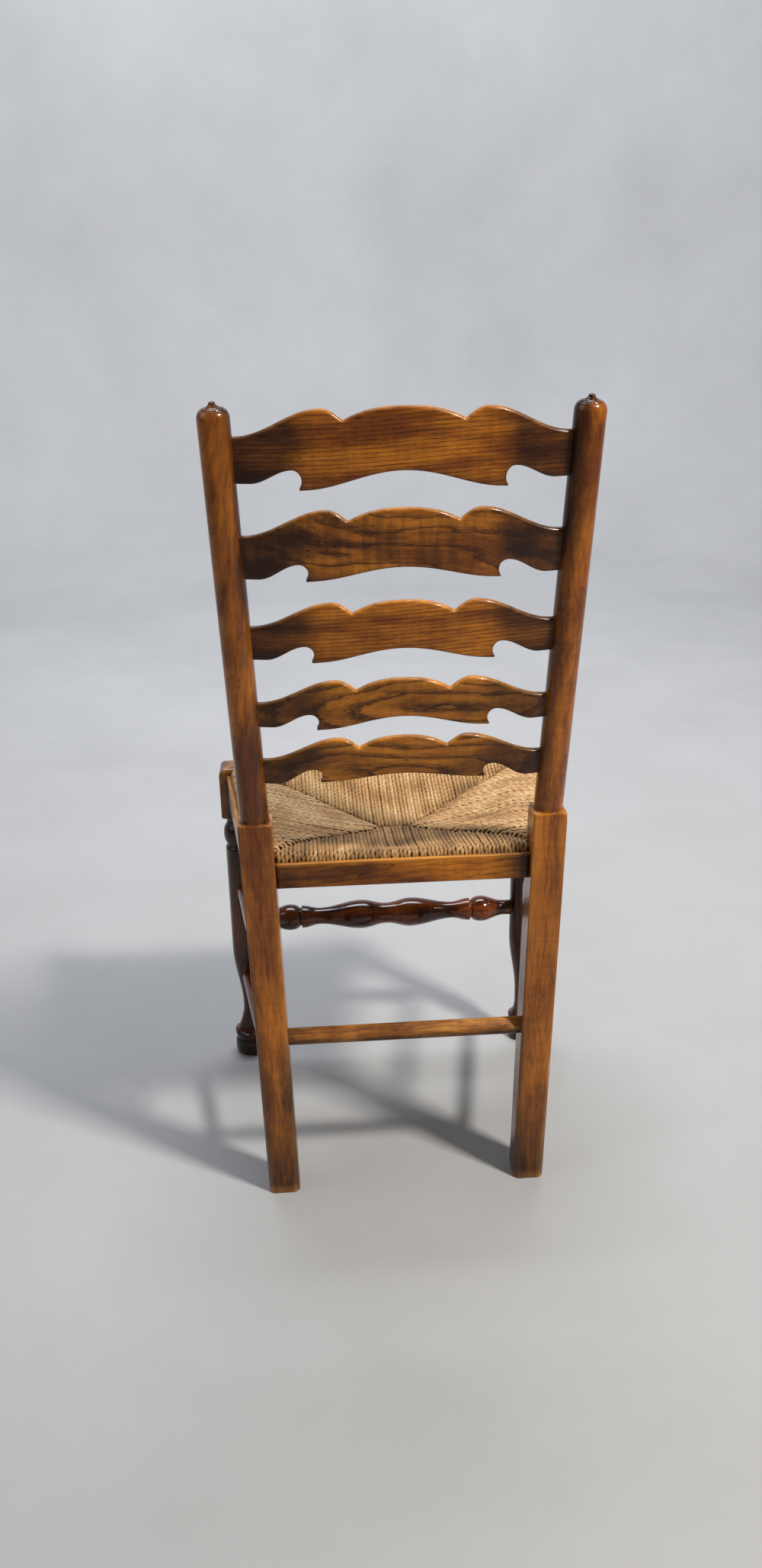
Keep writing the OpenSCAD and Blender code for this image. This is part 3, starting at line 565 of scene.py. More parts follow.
@dataclass
class ChairLines:
    """The lines that every piece is hung on: post and leg axes, the leaning back plane and the seat."""

    seat_run: float = 317.0
    leg_span: float = 424.0
    shoulder_z: float = 527.0
    back_rise: float = 473.0
    back_lean: float = 63.0
    foot_span: float = 324.0
    shoulder_span: float = 348.0
    tip_span: float = 378.0
    post_square: float = 40.0
    block_square: float = 47.0
    round_low: float = 34.5
    round_high: float = 33.5
    rear_y: float = 0.0

    def __post_init__(self) -> None:
        """Works out the lean, the splays and where the back posts' axis lies."""
        self.rear_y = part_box("left_back_post")[0][1] / MM + self.post_square / 2
        self.lean = math.atan2(self.back_lean, self.back_rise)
        self.plane_h = self.back_rise / math.cos(self.lean)
        self.splay = math.atan2((self.tip_span - self.shoulder_span) / 2, self.plane_h)
        self.back_len = self.plane_h / math.cos(self.splay)

    def post_x(self, z: Array) -> Array:
        """Distance of a lower post's axis from the middle of the chair at height z."""
        return (self.foot_span + (self.shoulder_span - self.foot_span) * z / self.shoulder_z) / 2

    def back_x(self, s: float) -> float:
        """Distance of an upper post's axis from the middle at a distance s up the back."""
        return self.shoulder_span / 2 + s * math.tan(self.splay)

    def round_radius(self, s: float) -> float:
        """Radius of the round post at a distance s up the back."""
        return (self.round_low + (self.round_high - self.round_low) * s / (self.back_len - 17)) / 2

    def back_points(self, x: Array, depth: Array, s: Array) -> Array:
        """Places points of the leaning back plane in the row frame.

        Args:
            x: Distance to the sitter's left.
            depth: Distance behind the plane.
            s: Distance up the plane from the shoulders.

        Returns:
            Points of the broadcast shape with 3 at the end.
        """
        x, depth, s = np.broadcast_arrays(x, depth, s)
        y = depth * math.cos(self.lean) + s * math.sin(self.lean) + self.rear_y
        z = self.shoulder_z - depth * math.sin(self.lean) + s * math.cos(self.lean)
        return np.stack([x, y, z], axis=-1)


def grain_of(along: Array, ring: Array, across: Array, seed: int) -> Array:
    """Packs the three grain distances in metres, moved by a seeded amount so that no two pieces match."""
    shift = np.random.default_rng(seed).uniform(0, 900, 3)
    stacked = np.stack(np.broadcast_arrays(along + shift[0], ring + shift[1], across + shift[2]), axis=-1)
    return stacked * MM


def mirrored(points: Array) -> Array:
    """The same points on the other side of the chair."""
    return points * np.array([-1.0, 1.0, 1.0])


def arc(start: float, stop: float, count: int) -> Tuple[Array, Array]:
    """Cosine and sine of evenly spaced angles from start to stop, in degrees."""
    angle = np.radians(np.linspace(start, stop, count))
    return np.cos(angle), np.sin(angle)


# ---- Back posts ----


@dataclass
class BackPosts:
    """Two back posts: square and chamfered below, turned and leaning above, with a buttoned tip."""

    lines: ChairLines
    arris: float = 8.0
    arris_top: float = 427.0
    dome_h: float = 17.0
    land_r: float = 7.8
    groove_r: float = 12.2
    button_h: float = 6.0
    button_r: float = 3.6
    sharp: float = 46.0
    finish: StainedOak = field(default_factory=lambda: StainedOak(
        "polished_stained_oak_post", light="#c2721e", body="#864612", ring_mm=9.0, ring_depth=0.3, wander=0.6,
        fleck=0.3, blotch_mm=70.0, blotch=0.6, gloss=0.26, coat=0.36))

    def lower_rings(self, theta: Array) -> Array:
        """Rings of the square part, from the floor to the shoulder.

        The section is a softened octagon: a square whose four corner chamfers widen in a straight line
        towards the floor. Just under the shoulder the lathe has clipped the corners to a cone.

        Args:
            theta: Angles round the post.

        Returns:
            The rings, of shape (m, n, 3).
        """
        top = self.lines.shoulder_z
        z = np.concatenate([[0, 0, 0.5, 1.3, 3], np.linspace(6, top - 14, 60),
                            [top - 9, top - 7, top - 5, top - 3.2, top - 1.8, top - 0.9, top - 0.3, top]])
        inset = np.concatenate([[3, 1.0, 0.3, 0.05, 0], np.zeros(60), [0, 0, 0, 0, 0.05, 0.2, 0.5, 1.1]])
        half = self.lines.post_square / 2
        leg = self.arris / math.sqrt(2) * np.clip(1 - z / self.arris_top, 0, 1)
        faces = np.radians(np.arange(8) * 45.0)
        reach = np.where(np.arange(8) % 2 == 0, half, half * math.sqrt(2) - leg[:, None] / math.sqrt(2))
        radius = soft_polygon(theta, faces, reach, self.sharp)
        clip = half + 5.8 + (top - z[:, None]) * 0.354
        radius = (radius ** -30 + clip ** -30) ** (-1 / 30) - inset[:, None]
        radius = radius + 0.18 * ripple(z[:, None] / 28, theta[None, :] * 2, 11) * (z[:, None] > 4)
        x = self.lines.post_x(z)[:, None] + radius * np.cos(theta)
        y = self.lines.rear_y + radius * np.sin(theta)
        return np.stack([x, y, np.broadcast_to(z[:, None], x.shape)], axis=-1)

    def tip_profile(self) -> Tuple[Array, Array]:
        """Profile of the turned part: a plain taper, a dome with a fine groove, and a button.

        The dome is a quarter ellipse, less a groove shaped like a bell curve. The button is a small cone under
        a quarter circle.

        Returns:
            Radius and height up the post of each ring.
        """
        top = self.lines.back_len
        start = top - self.dome_h
        run = np.linspace(8, start - 6, 56)
        low, high = self.lines.round_low / 2, self.lines.round_high / 2
        c, s = arc(4, 82, 26)
        dome_r = self.land_r + (high - self.land_r) * c
        dome_s = start + (self.dome_h - self.button_h) * s
        cut = 0.7 * np.exp(-((dome_r - self.groove_r) / 0.45) ** 2)
        bead_c, bead_s = arc(-25, 88, 12)
        base = top - self.button_h
        cone_r = np.array([self.land_r - 1.2, self.land_r - 1.9, self.button_r + 1.3, self.button_r + 0.5])
        cone_s = base + np.array([0.3, 0.9, 1.9, 2.7])
        cap = self.button_h - 3.6
        radius = np.concatenate([low + (high - low) * run / start, [high, high], dome_r - cut * 0.7, cone_r,
                                 self.button_r * bead_c])
        level = np.concatenate([run, [start - 3, start - 0.5], dome_s - cut, cone_s,
                                top - cap + cap * bead_s])
        return radius, level

    def upper_rings(self, theta: Array) -> Array:
        """Rings of the turned part: circles about the leaning axis, starting where it meets the shoulder.

        Args:
            theta: Angles round the post.

        Returns:
            The rings, of shape (m, n, 3).
        """
        lean, splay = self.lines.lean, self.lines.splay
        across = np.array([math.cos(splay), math.sin(splay) * math.sin(-lean), -math.sin(splay) * math.cos(lean)])
        behind = np.array([0.0, math.cos(lean), -math.sin(lean)])
        upward = np.array([math.sin(splay), math.cos(splay) * math.sin(lean), math.cos(splay) * math.cos(lean)])
        radius, level = self.tip_profile()
        out = np.cos(theta)[:, None] * across + np.sin(theta)[:, None] * behind
        root = np.array([self.lines.shoulder_span / 2, self.lines.rear_y, self.lines.shoulder_z])
        low = self.lines.round_low / 2
        flare = np.array([0.9, 0.35, 0.1, 0.0])
        lift = np.array([0.0, 0.5, 1.3, 2.6])
        meet = -(low + flare[:, None]) * out[:, 2] / upward[2] + lift[:, None]
        start = root + (low + flare)[:, None, None] * out + meet[..., None] * upward
        rest = root + radius[:, None, None] * out + level[:, None, None] * upward
        return np.concatenate([start, rest])

    def build(self) -> List[bpy.types.Object]:
        """Builds both posts.

        Returns:
            The two pieces.
        """
        material = self.finish.build()
        theta = corner_angles()
        low = self.lower_rings(theta)
        high = self.upper_rings(theta)
        rings = np.concatenate([low, high])
        corner = (np.abs(np.cos(theta)) + np.abs(np.sin(theta)) - 1) / (math.sqrt(2) - 1)
        z = rings[..., 2]
        square = np.zeros(rings.shape[:2])
        square[:len(low)] = 1
        inner = np.clip(-np.cos(theta), 0, 1)[None, :]
        foot = smooth(14, 0, z) * square
        edge = square * np.broadcast_to(corner ** 8, z.shape)
        rim = square * smooth(self.lines.shoulder_z - 2.5, self.lines.shoulder_z, z)
        wear = np.clip(0.22 * edge + 0.5 * foot + 0.3 * rim, 0, 1)
        tip = smooth(self.lines.shoulder_z + self.lines.back_rise - 12, self.lines.shoulder_z
                     + self.lines.back_rise - 6, z)
        outer = np.clip(np.cos(theta), 0, 1)[None, :]
        front = np.clip(-np.sin(theta), 0, 1)[None, :]
        low_dark = smooth(330, 60, z) * square
        stain_and_shade = (1 - square) * (0.78 * inner ** 0.8 + 0.08) + square * (0.3 * inner ** 2 + 0.25 * outer * front)
        stain_and_shade = stain_and_shade + 0.6 * low_dark + 0.3 * smooth(90, 0, z) * square + 0.12 * np.broadcast_to(
            corner ** 4, z.shape) * low_dark
        stain_and_shade = np.clip(stain_and_shade + 0.55 * tip, 0, 1)
        pieces = []
        for seed, (side, name) in enumerate(((1, "left_back_post"), (-1, "right_back_post"))):
            points = rings if side == 1 else mirrored(rings)
            local_x = points[..., 0] - side * self.lines.post_x(np.minimum(z, self.lines.shoulder_z))
            local_y = points[..., 1] - self.lines.rear_y
            ring = np.hypot(local_x + side * 38, local_y - 24) + 0.006 * z
            grain = grain_of(z, ring, local_x + local_y, 40 + seed)
            mesh = loft(name + "_turned", points[None], {"grain": grain[None], "wear": wear[None],
                                                         "stain_and_shade": stain_and_shade[None]})
            pieces.append(add_piece(name + "_turned", mesh, material, [name]))
        return pieces


# ---- Front legs ----


@dataclass
class FrontLegs:
    """Two front legs: a rounded square block, a bead, a plain column, a slim ankle and a pad foot."""

    lines: ChairLines
    block_top: float = 481.0
    block_h: float = 76.0
    block_round: float = 10.0
    bead_r: float = 23.5
    neck_r: float = 18.0
    column_r: float = 22.0
    taper_z: float = 186.0
    ankle_z: float = 86.0
    ankle_r: float = 11.0
    pad_r: float = 23.0
    pad_z: float = 39.0
    groove_r: float = 20.0
    groove_z: float = 26.5
    bun_r: float = 23.5
    foot_shift: float = 3.5
    # painted shade: these colours are far darker than the back posts' for the same stained oak, which paints in
    # the shade under the seat
    finish: StainedOak = field(default_factory=lambda: StainedOak(
        "polished_stained_oak_turning_painted_shade", light="#6c3616", body="#3c1e0e", dark="#120906", ring_mm=6.0,
        ring_depth=0.45, wander=0.35, fleck=0.3, blotch=0.5, gloss=0.22, coat=0.35))

    def profile(self) -> Tuple[Array, Array, Array, Array]:
        """Radius, height, squareness and foot shift of each ring, from the block's top to the floor.

        The block's edge is a quarter circle, the bead and the bun are parts of ellipses, the column narrows to
        the ankle by half a cosine wave, and the ankle flares to the pad by a quarter of one.

        Returns:
            The four values, each of shape (rings,). Squareness is 1 on the block and 0 below it.
        """
        top, half, rnd = self.block_top, self.lines.block_square / 2, self.block_round
        bottom = top - self.block_h
        c, s = arc(90, 0, 12)
        rows = [(half - rnd - 6, top, 1.0)]
        rows += [(half - rnd + rnd * a, top - rnd + rnd * b, 1.0) for a, b in zip(c, s)]
        rows += [(half, z, 1.0) for z in np.linspace(top - rnd - 3, bottom + 4, 18)]
        rows += [(half - 0.1, bottom + 2.8, 1.0), (half - 1.2, bottom + 1.2, 1.0), (half - 2.6, bottom + 0.2, 1.0),
                 (half - 3.4, bottom, 1.0), (self.neck_r + 0.6, bottom - 0.1, 0.0),
                 (self.neck_r, bottom - 0.8, 0.0)]
        mid = bottom - 30
        c, s = arc(90, -90, 22)
        rows += [(self.neck_r + (self.bead_r - self.neck_r) * a, mid + 15 * b, 0.0) for a, b in zip(c, s)]
        rows += [(self.neck_r - 0.2, mid - 16.5, 0.0)]
        c, s = arc(90, 0, 9)
        rows += [(self.neck_r + (self.column_r - self.neck_r) * a, mid - 24 + 6 * b, 0.0) for a, b in zip(c, s)]
        rows += [(self.column_r, z, 0.0) for z in np.linspace(mid - 30, self.taper_z + 6, 26)]
        rows += [(self.column_r + (self.ankle_r - self.column_r) * swing(t),
                  self.taper_z + (self.ankle_z - self.taper_z) * t, 0.0) for t in np.linspace(0, 1, 26)]
        rows += [(self.ankle_r + (self.pad_r - self.ankle_r) * (1 - math.cos(math.pi / 2 * t)) ** 0.9,
                  self.ankle_z + (self.pad_z - self.ankle_z) * math.sin(math.pi / 2 * t) ** 0.85, 0.0)
                 for t in np.linspace(0.08, 1, 18)]
        c, s = arc(10, 80, 7)
        rows += [(self.groove_r + (self.pad_r - self.groove_r) * a,
                  self.pad_z - (self.pad_z - self.groove_z - 0.6) * b, 0.0) for a, b in zip(c, s)]
        c, s = arc(80, -62, 16)
        rows += [(self.groove_r + (self.bun_r - self.groove_r) * a, self.groove_z / 2 + self.groove_z / 2 * b, 0.0)
                 for a, b in zip(c, s)]
        rows += [(self.groove_r - 1.5, 0.6, 0.0), (self.groove_r - 3, 0.0, 0.0), (6.0, 0.0, 0.0)]
        table = np.array(rows)
        shift = self.foot_shift * smooth(self.ankle_z, self.pad_z + 4, table[:, 1])
        return table[:, 0], table[:, 1], table[:, 2], shift

    def build(self) -> List[bpy.types.Object]:
        """Builds both legs.

        Returns:
            The two pieces.
        """
        material = self.finish.build()
        theta = corner_angles(coarse=8, fine=14, spread=12)
        radius, z, square, shift = self.profile()
        faces = np.radians(np.arange(4) * 90.0)
        boxy = soft_polygon(theta, faces, np.repeat(radius[:, None], 4, axis=1), 34.0)
        clip = self.lines.block_square / 2 + 6 + (z - self.block_top + self.block_h)[:, None].clip(0)
        boxy = np.minimum(boxy, clip)
        r = np.where(square[:, None] > 0.5, boxy, radius[:, None])
        axis_x = self.lines.leg_span / 2
        axis_y = self.lines.rear_y - self.lines.seat_run
        x = axis_x + shift[:, None] + r * np.cos(theta)
        y = axis_y - shift[:, None] + r * np.sin(theta)
        rings = np.stack([x, y, np.broadcast_to(z[:, None], x.shape)], axis=-1)
        corner = (np.abs(np.cos(theta)) + np.abs(np.sin(theta)) - 1) / (math.sqrt(2) - 1)
        block = square[:, None]
        height = rings[..., 2]
        wear = 0.35 * block * corner[None] ** 8 + 0.25 * block * smooth(self.block_top - 6, self.block_top, height)
        wear = wear + 0.3 * smooth(8, 0, height)
        stain_and_shade = 0.25 * block + 0.35 * smooth(60, 20, height) + 0.1
        stain_and_shade = np.broadcast_to(np.clip(stain_and_shade, 0, 1), height.shape)
        pieces = []
        for seed, (side, name) in enumerate(((1, "left_front_leg"), (-1, "right_front_leg"))):
            points = rings if side == 1 else mirrored(rings)
            ring = np.hypot(r * np.cos(theta) + 45 + 0.02 * height, r * np.sin(theta) - 20)
            grain = grain_of(height, ring, r * np.sin(theta), 50 + seed)
            mesh = loft(name + "_turned", points[None], {"grain": grain[None], "wear": wear[None],
                                                         "stain_and_shade": stain_and_shade[None]})
            pieces.append(add_piece(name + "_turned", mesh, material, [name]))
        return pieces


# ---- Ladder slats ----


class Figure(Enum):
    """How a slat was sawn from the log, which decides what its rings look like."""

    STRAIGHT = "straight"
    ARCHED = "arched"
    FLAMED = "flamed"


@dataclass(frozen=True)
class SlatSizes:
    """What differs from slat to slat."""

    node: str
    number: int
    depth: float
    hook: float
    figure: Figure
    centre: Tuple[float, float] = (0.0, 0.0)


@dataclass
class LadderSlats:
    """Five waved slats, bent to one radius, with soft worn edges and a hook at each end of the lower edge."""

    lines: ChairLines
    thickness: float = 9.0
    bend_r: float = 1060.0
    first_rise: float = 50.0
    top_drop: float = 81.0
    grade: float = 0.22
    tongue: float = 12.8
    hump_rise: float = 27.5
    notch_fall: float = 11.5
    crown_rise: float = 2.0
    arch_rise: float = 13.0
    scallop_rise: float = 17.0
    hump_at: float = 87.0
    notch_at: float = 109.0
    scallop_at: float = 57.0
    hook_at: float = 66.5
    hook_w: float = 4.5
    hook_side: float = 9.0
    hook_flare: float = 2.6
    flat_at: float = 14.0
    slats: Tuple[SlatSizes, ...] = (
        SlatSizes("bottom_slat", 0, 30.5, -3.5, Figure.ARCHED, (12.0, 16.0)),
        SlatSizes("lower_slat", 1, 29.0, 2.0, Figure.ARCHED, (-48.0, 22.0)),
        SlatSizes("middle_slat", 2, 37.5, 2.5, Figure.STRAIGHT),
        SlatSizes("upper_slat", 3, 46.0, 1.5, Figure.FLAMED, (60.0, 70.0)),
        SlatSizes("top_slat", 4, 46.5, 6.0, Figure.STRAIGHT))

    def base(self, number: int) -> float:
        """Height of a slat's ends up the back plane. The gaps widen towards the top."""
        t = number / (len(self.slats) - 1)
        run = self.lines.plane_h - self.top_drop - self.first_rise
        return self.first_rise + run * (t - self.grade * t * (1 - t))

    def upper_edge(self, sizes: SlatSizes, s: Array, half: float) -> Array:
        """Height of the upper edge: rise, shoulder, notch and crown.

        Half a cosine wave rises to the shoulder, a quarter of one falls to the notch, and a power curve
        rises from the notch to the crown in the middle.

        Args:
            sizes: The slat's own sizes.
            s: Distances from the post.
            half: Half of the slat's length between the posts.

        Returns:
            Heights above the slat's base, of the shape of s.
        """
        rise = self.hump_rise * swing(np.clip(s / self.hump_at, 0, 1))
        fall = np.clip((s - self.hump_at) / (self.notch_at - self.hump_at), 0, 1)
        notch = self.hump_rise - self.notch_fall * (1 - np.cos(np.pi / 2 * fall))
        rest = np.clip(1 - (s - self.notch_at) / (half - self.notch_at), 0, 1)
        crown = self.hump_rise - self.notch_fall + (self.notch_fall + self.crown_rise) * (1 - rest ** 2.5)
        return sizes.depth + np.where(s < self.hump_at, rise, np.where(s < self.notch_at, notch, crown))

    def lower_edge(self, sizes: SlatSizes, half: float) -> Tuple[Array, Array, Array]:
        """Points of the lower edge from the tongue to the middle, and where each rib meets the upper edge.

        Level beside the post, half a cosine wave up to the scallop, a quarter ellipse down to the hook's
        steep side, a small round at its point, and half a cosine wave up to the arch in the middle.

        Args:
            sizes: The slat's own sizes.
            half: Half of the slat's length between the posts.

        Returns:
            Distance from the post, height, and distance from the post of the matching upper point.
        """
        low = -sizes.hook
        top = self.scallop_rise - sizes.hook / 2
        flat = np.concatenate([np.linspace(-self.tongue, -1, 3), np.linspace(0, self.flat_at - 1, 6)])
        t = np.linspace(0, 1, 22)
        c, s = arc(86, 0, 14)
        drop = np.linspace(0, 1, 10)[1:]
        turn_c, turn_s = arc(190, 268, 6)
        u = np.linspace(0, 1, 62)
        point_r = 1.2
        centre = (self.hook_at + point_r, low + point_r - 0.2)
        after_hook = self.hook_at + self.hook_w
        along = [flat, self.flat_at + (self.scallop_at - self.flat_at) * t,
                 self.scallop_at + (self.hook_at - self.scallop_at) * c, np.full(9, self.hook_at),
                 centre[0] + point_r * turn_c, after_hook + (half - after_hook) * u]
        level = [np.zeros(9), top * swing(t), low + self.hook_side + (top - low - self.hook_side) * s,
                 low + self.hook_side - (self.hook_side - 1.2) * drop, centre[1] + point_r * turn_s,
                 low + (self.arch_rise - low) * swing(u ** 0.9)]
        lead = [np.zeros(9), np.zeros(22), np.zeros(14), 4.0 * drop, np.full(6, 4.6), 4.4 * (1 - u) ** 3]
        s_all = np.concatenate(along)
        return s_all, np.concatenate(level), s_all + np.concatenate(lead)

    @staticmethod
    def inward(s: Array, z: Array, sign: float) -> Array:
        """Unit normals of an edge curve, of shape (n, 2), that point into the slat."""
        tangent = np.stack([np.gradient(s), np.gradient(z)], axis=1)
        tangent = tangent / np.maximum(np.linalg.norm(tangent, axis=1), 1e-9)[:, None]
        return sign * np.stack([-tangent[:, 1], tangent[:, 0]], axis=1)

    def half_section(self, sizes: SlatSizes, half: float) -> Tuple[Array, Array, Array, Array]:
        """One half of the flat slat, as ribs from the lower to the upper edge with rounded edges.

        Each rib is a closed loop: over the rounded upper edge, down the rear face, round the lower edge and up
        the front face. The edges are quarter circles that lean along the edge's own normal.

        Args:
            sizes: The slat's own sizes.
            half: Half of the slat's length between the posts.

        Returns:
            Distance from the post, height, depth through the thickness and edge wear, of shape (ribs, points).
        """
        low_s, low_z, top_s = self.lower_edge(sizes, half)
        top_z = self.upper_edge(sizes, top_s, half)
        low_n = self.inward(low_s, low_z, 1.0)
        top_n = self.inward(top_s, top_z, -1.0)
        near_hook = np.exp(-((low_s - self.hook_at - 1) / 6) ** 2)
        low_r = (2.2 - 1.3 * near_hook)[:, None]
        top_r = np.full_like(low_r, 3.6)
        c, s = arc(90, 8, 6)
        half_t = self.thickness / 2
        inset = np.concatenate([1 - c, (1 - c)[::-1]])
        side = np.concatenate([np.ones(6), -np.ones(6)])
        sine = np.concatenate([s, s[::-1]])

        def edge(es: Array, ez: Array, normal: Array, r: Array) -> Tuple[Array, Array, Array]:
            """Rounded edge from the rear face to the front face."""
            return (es[:, None] + normal[:, :1] * r * inset, ez[:, None] + normal[:, 1:] * r * inset,
                    side * (half_t - r + r * sine))

        ts, tz, tq = edge(top_s, top_z, top_n, top_r)
        bs, bz, bq = edge(low_s, low_z, low_n, low_r)
        steps = np.linspace(0, 1, 11)[1:-1]
        rear = [ts[:, :1] * (1 - steps) + bs[:, :1] * steps, tz[:, :1] * (1 - steps) + bz[:, :1] * steps,
                np.full((len(top_s), 9), half_t)]
        front = [ts[:, -1:] * (1 - steps) + bs[:, -1:] * steps, tz[:, -1:] * (1 - steps) + bz[:, -1:] * steps,
                 np.full((len(top_s), 9), -half_t)]
        loop_s = np.concatenate([ts, front[0], bs[:, ::-1], rear[0][:, ::-1]], axis=1)
        loop_z = np.concatenate([tz, front[1], bz[:, ::-1], rear[1][:, ::-1]], axis=1)
        loop_q = np.concatenate([tq, front[2], bq[:, ::-1], rear[2][:, ::-1]], axis=1)
        fade = 0.25 * (1 - steps) ** 12
        top_wear = 0.05 + 0.5 * np.clip(1 - inset, 0, 1) ** 2
        low_wear = 0.12 * np.clip(1 - inset, 0, 1)
        wear = np.concatenate([top_wear, fade, low_wear, fade[::-1]])
        # the hook's point is dragged a little towards the post
        pull = self.hook_flare * np.exp(-((loop_z + sizes.hook) / 3.6) ** 2 - ((loop_s - self.hook_at) / 5) ** 2)
        return loop_s - pull, loop_z, loop_q, np.broadcast_to(wear, loop_s.shape)

    def ring_distance(self, sizes: SlatSizes, x: Array, z: Array, q: Array) -> Array:
        """Distance across the growth rings: level lines, flat ellipses about a centre, or leaning flames.

        Args:
            sizes: The slat's own sizes, with its figure and the figure's centre.
            x: Distance to the sitter's left.
            z: Height above the slat's base.
            q: Depth through the slat.

        Returns:
            The distance in millimetres, of the shape of x.
        """
        if sizes.figure is Figure.STRAIGHT:
            return z + 0.4 * q + 0.035 * x + 2.0 * np.sin(x / 70)
        cx, cz = sizes.centre
        if sizes.figure is Figure.ARCHED:
            return np.hypot((x - cx) * 0.2, z - cz) + 3.5 * np.sin((x - cx) / 31 + z / 15) + 0.5 * q
        return 0.9 * (z - 0.2 * (x - cx)) + 8 * np.sin((x - cx) / 44 + z / 30) + 0.4 * q

    def finish(self, figure: Figure) -> StainedOak:
        """Chooses the stain and grain of a slat.

        Args:
            figure: How the slat was sawn.

        Returns:
            Its finish. Rift-sawn oak shows close, level lines, plain-sawn oak shows arches, and curly oak
            shows broad dark flames with a faint ripple across them.
        """
        if figure is Figure.STRAIGHT:
            return StainedOak("polished_stained_oak_rift_sawn", light="#c67822", body="#864614", ring_mm=4.4,
                              ring_depth=0.75, ring_edge=0.22, wander=0.1, fleck=0.35, blotch=0.3, gloss=0.34,
                              coat=0.2)
        if figure is Figure.ARCHED:
            return StainedOak("polished_stained_oak_plain_sawn", light="#c87c24", body="#885018", ring_mm=12.0,
                              ring_depth=0.85, ring_edge=0.42, wander=0.16, fleck=0.35, blotch=0.3, gloss=0.32,
                              coat=0.22)
        return StainedOak("polished_stained_oak_curly", light="#c07422", body="#824814", ring_mm=21.0,
                          ring_depth=0.8, ring_edge=0.3, wander=0.25, fleck=0.4, blotch=0.4, gloss=0.32, coat=0.3,
                          curl=0.4)

    def build(self) -> List[bpy.types.Object]:
        """Builds the five slats.

        Returns:
            The pieces, from the bottom up.
        """
        materials = {figure: self.finish(figure).build() for figure in Figure}
        pieces = []
        for sizes in self.slats:
            base = self.base(sizes.number)
            mid = base + sizes.depth / 2
            half = self.lines.back_x(mid) - self.lines.round_radius(mid)
            s, z, q, wear = self.half_section(sizes, half)
            x = np.concatenate([half - s, (s - half)[::-1][1:]])
            z, q, wear, s = (np.concatenate([v, v[::-1][1:]]) for v in (z, q, wear, s))
            depth = np.sqrt((self.bend_r + q) ** 2 - x ** 2) - math.sqrt(self.bend_r ** 2 - half ** 2)
            points = self.lines.back_points(x, depth, base + z)
            ends = 0.85 * smooth(84, 46, s + 6 * ripple(z / 9, q / 9 + sizes.number, 5))
            stain_and_shade = np.clip(ends + 0.25 * smooth(9, -3, z), 0, 1)
            worn = wear * (0.35 + 0.65 * smooth(20, 70, s))
            ring = self.ring_distance(sizes, x, z, q)
            grain = grain_of(x, ring, z + 0.5 * q, 70 + sizes.number)
            name = sizes.node + "_shaped"
            mesh = loft(name, points[None], {"grain": grain[None], "wear": worn[None], "stain_and_shade": stain_and_shade[None]})
            pieces.append(add_piece(name, mesh, materials[sizes.figure], [sizes.node]))
        return pieces


# ---- Edge strips and stretchers ----


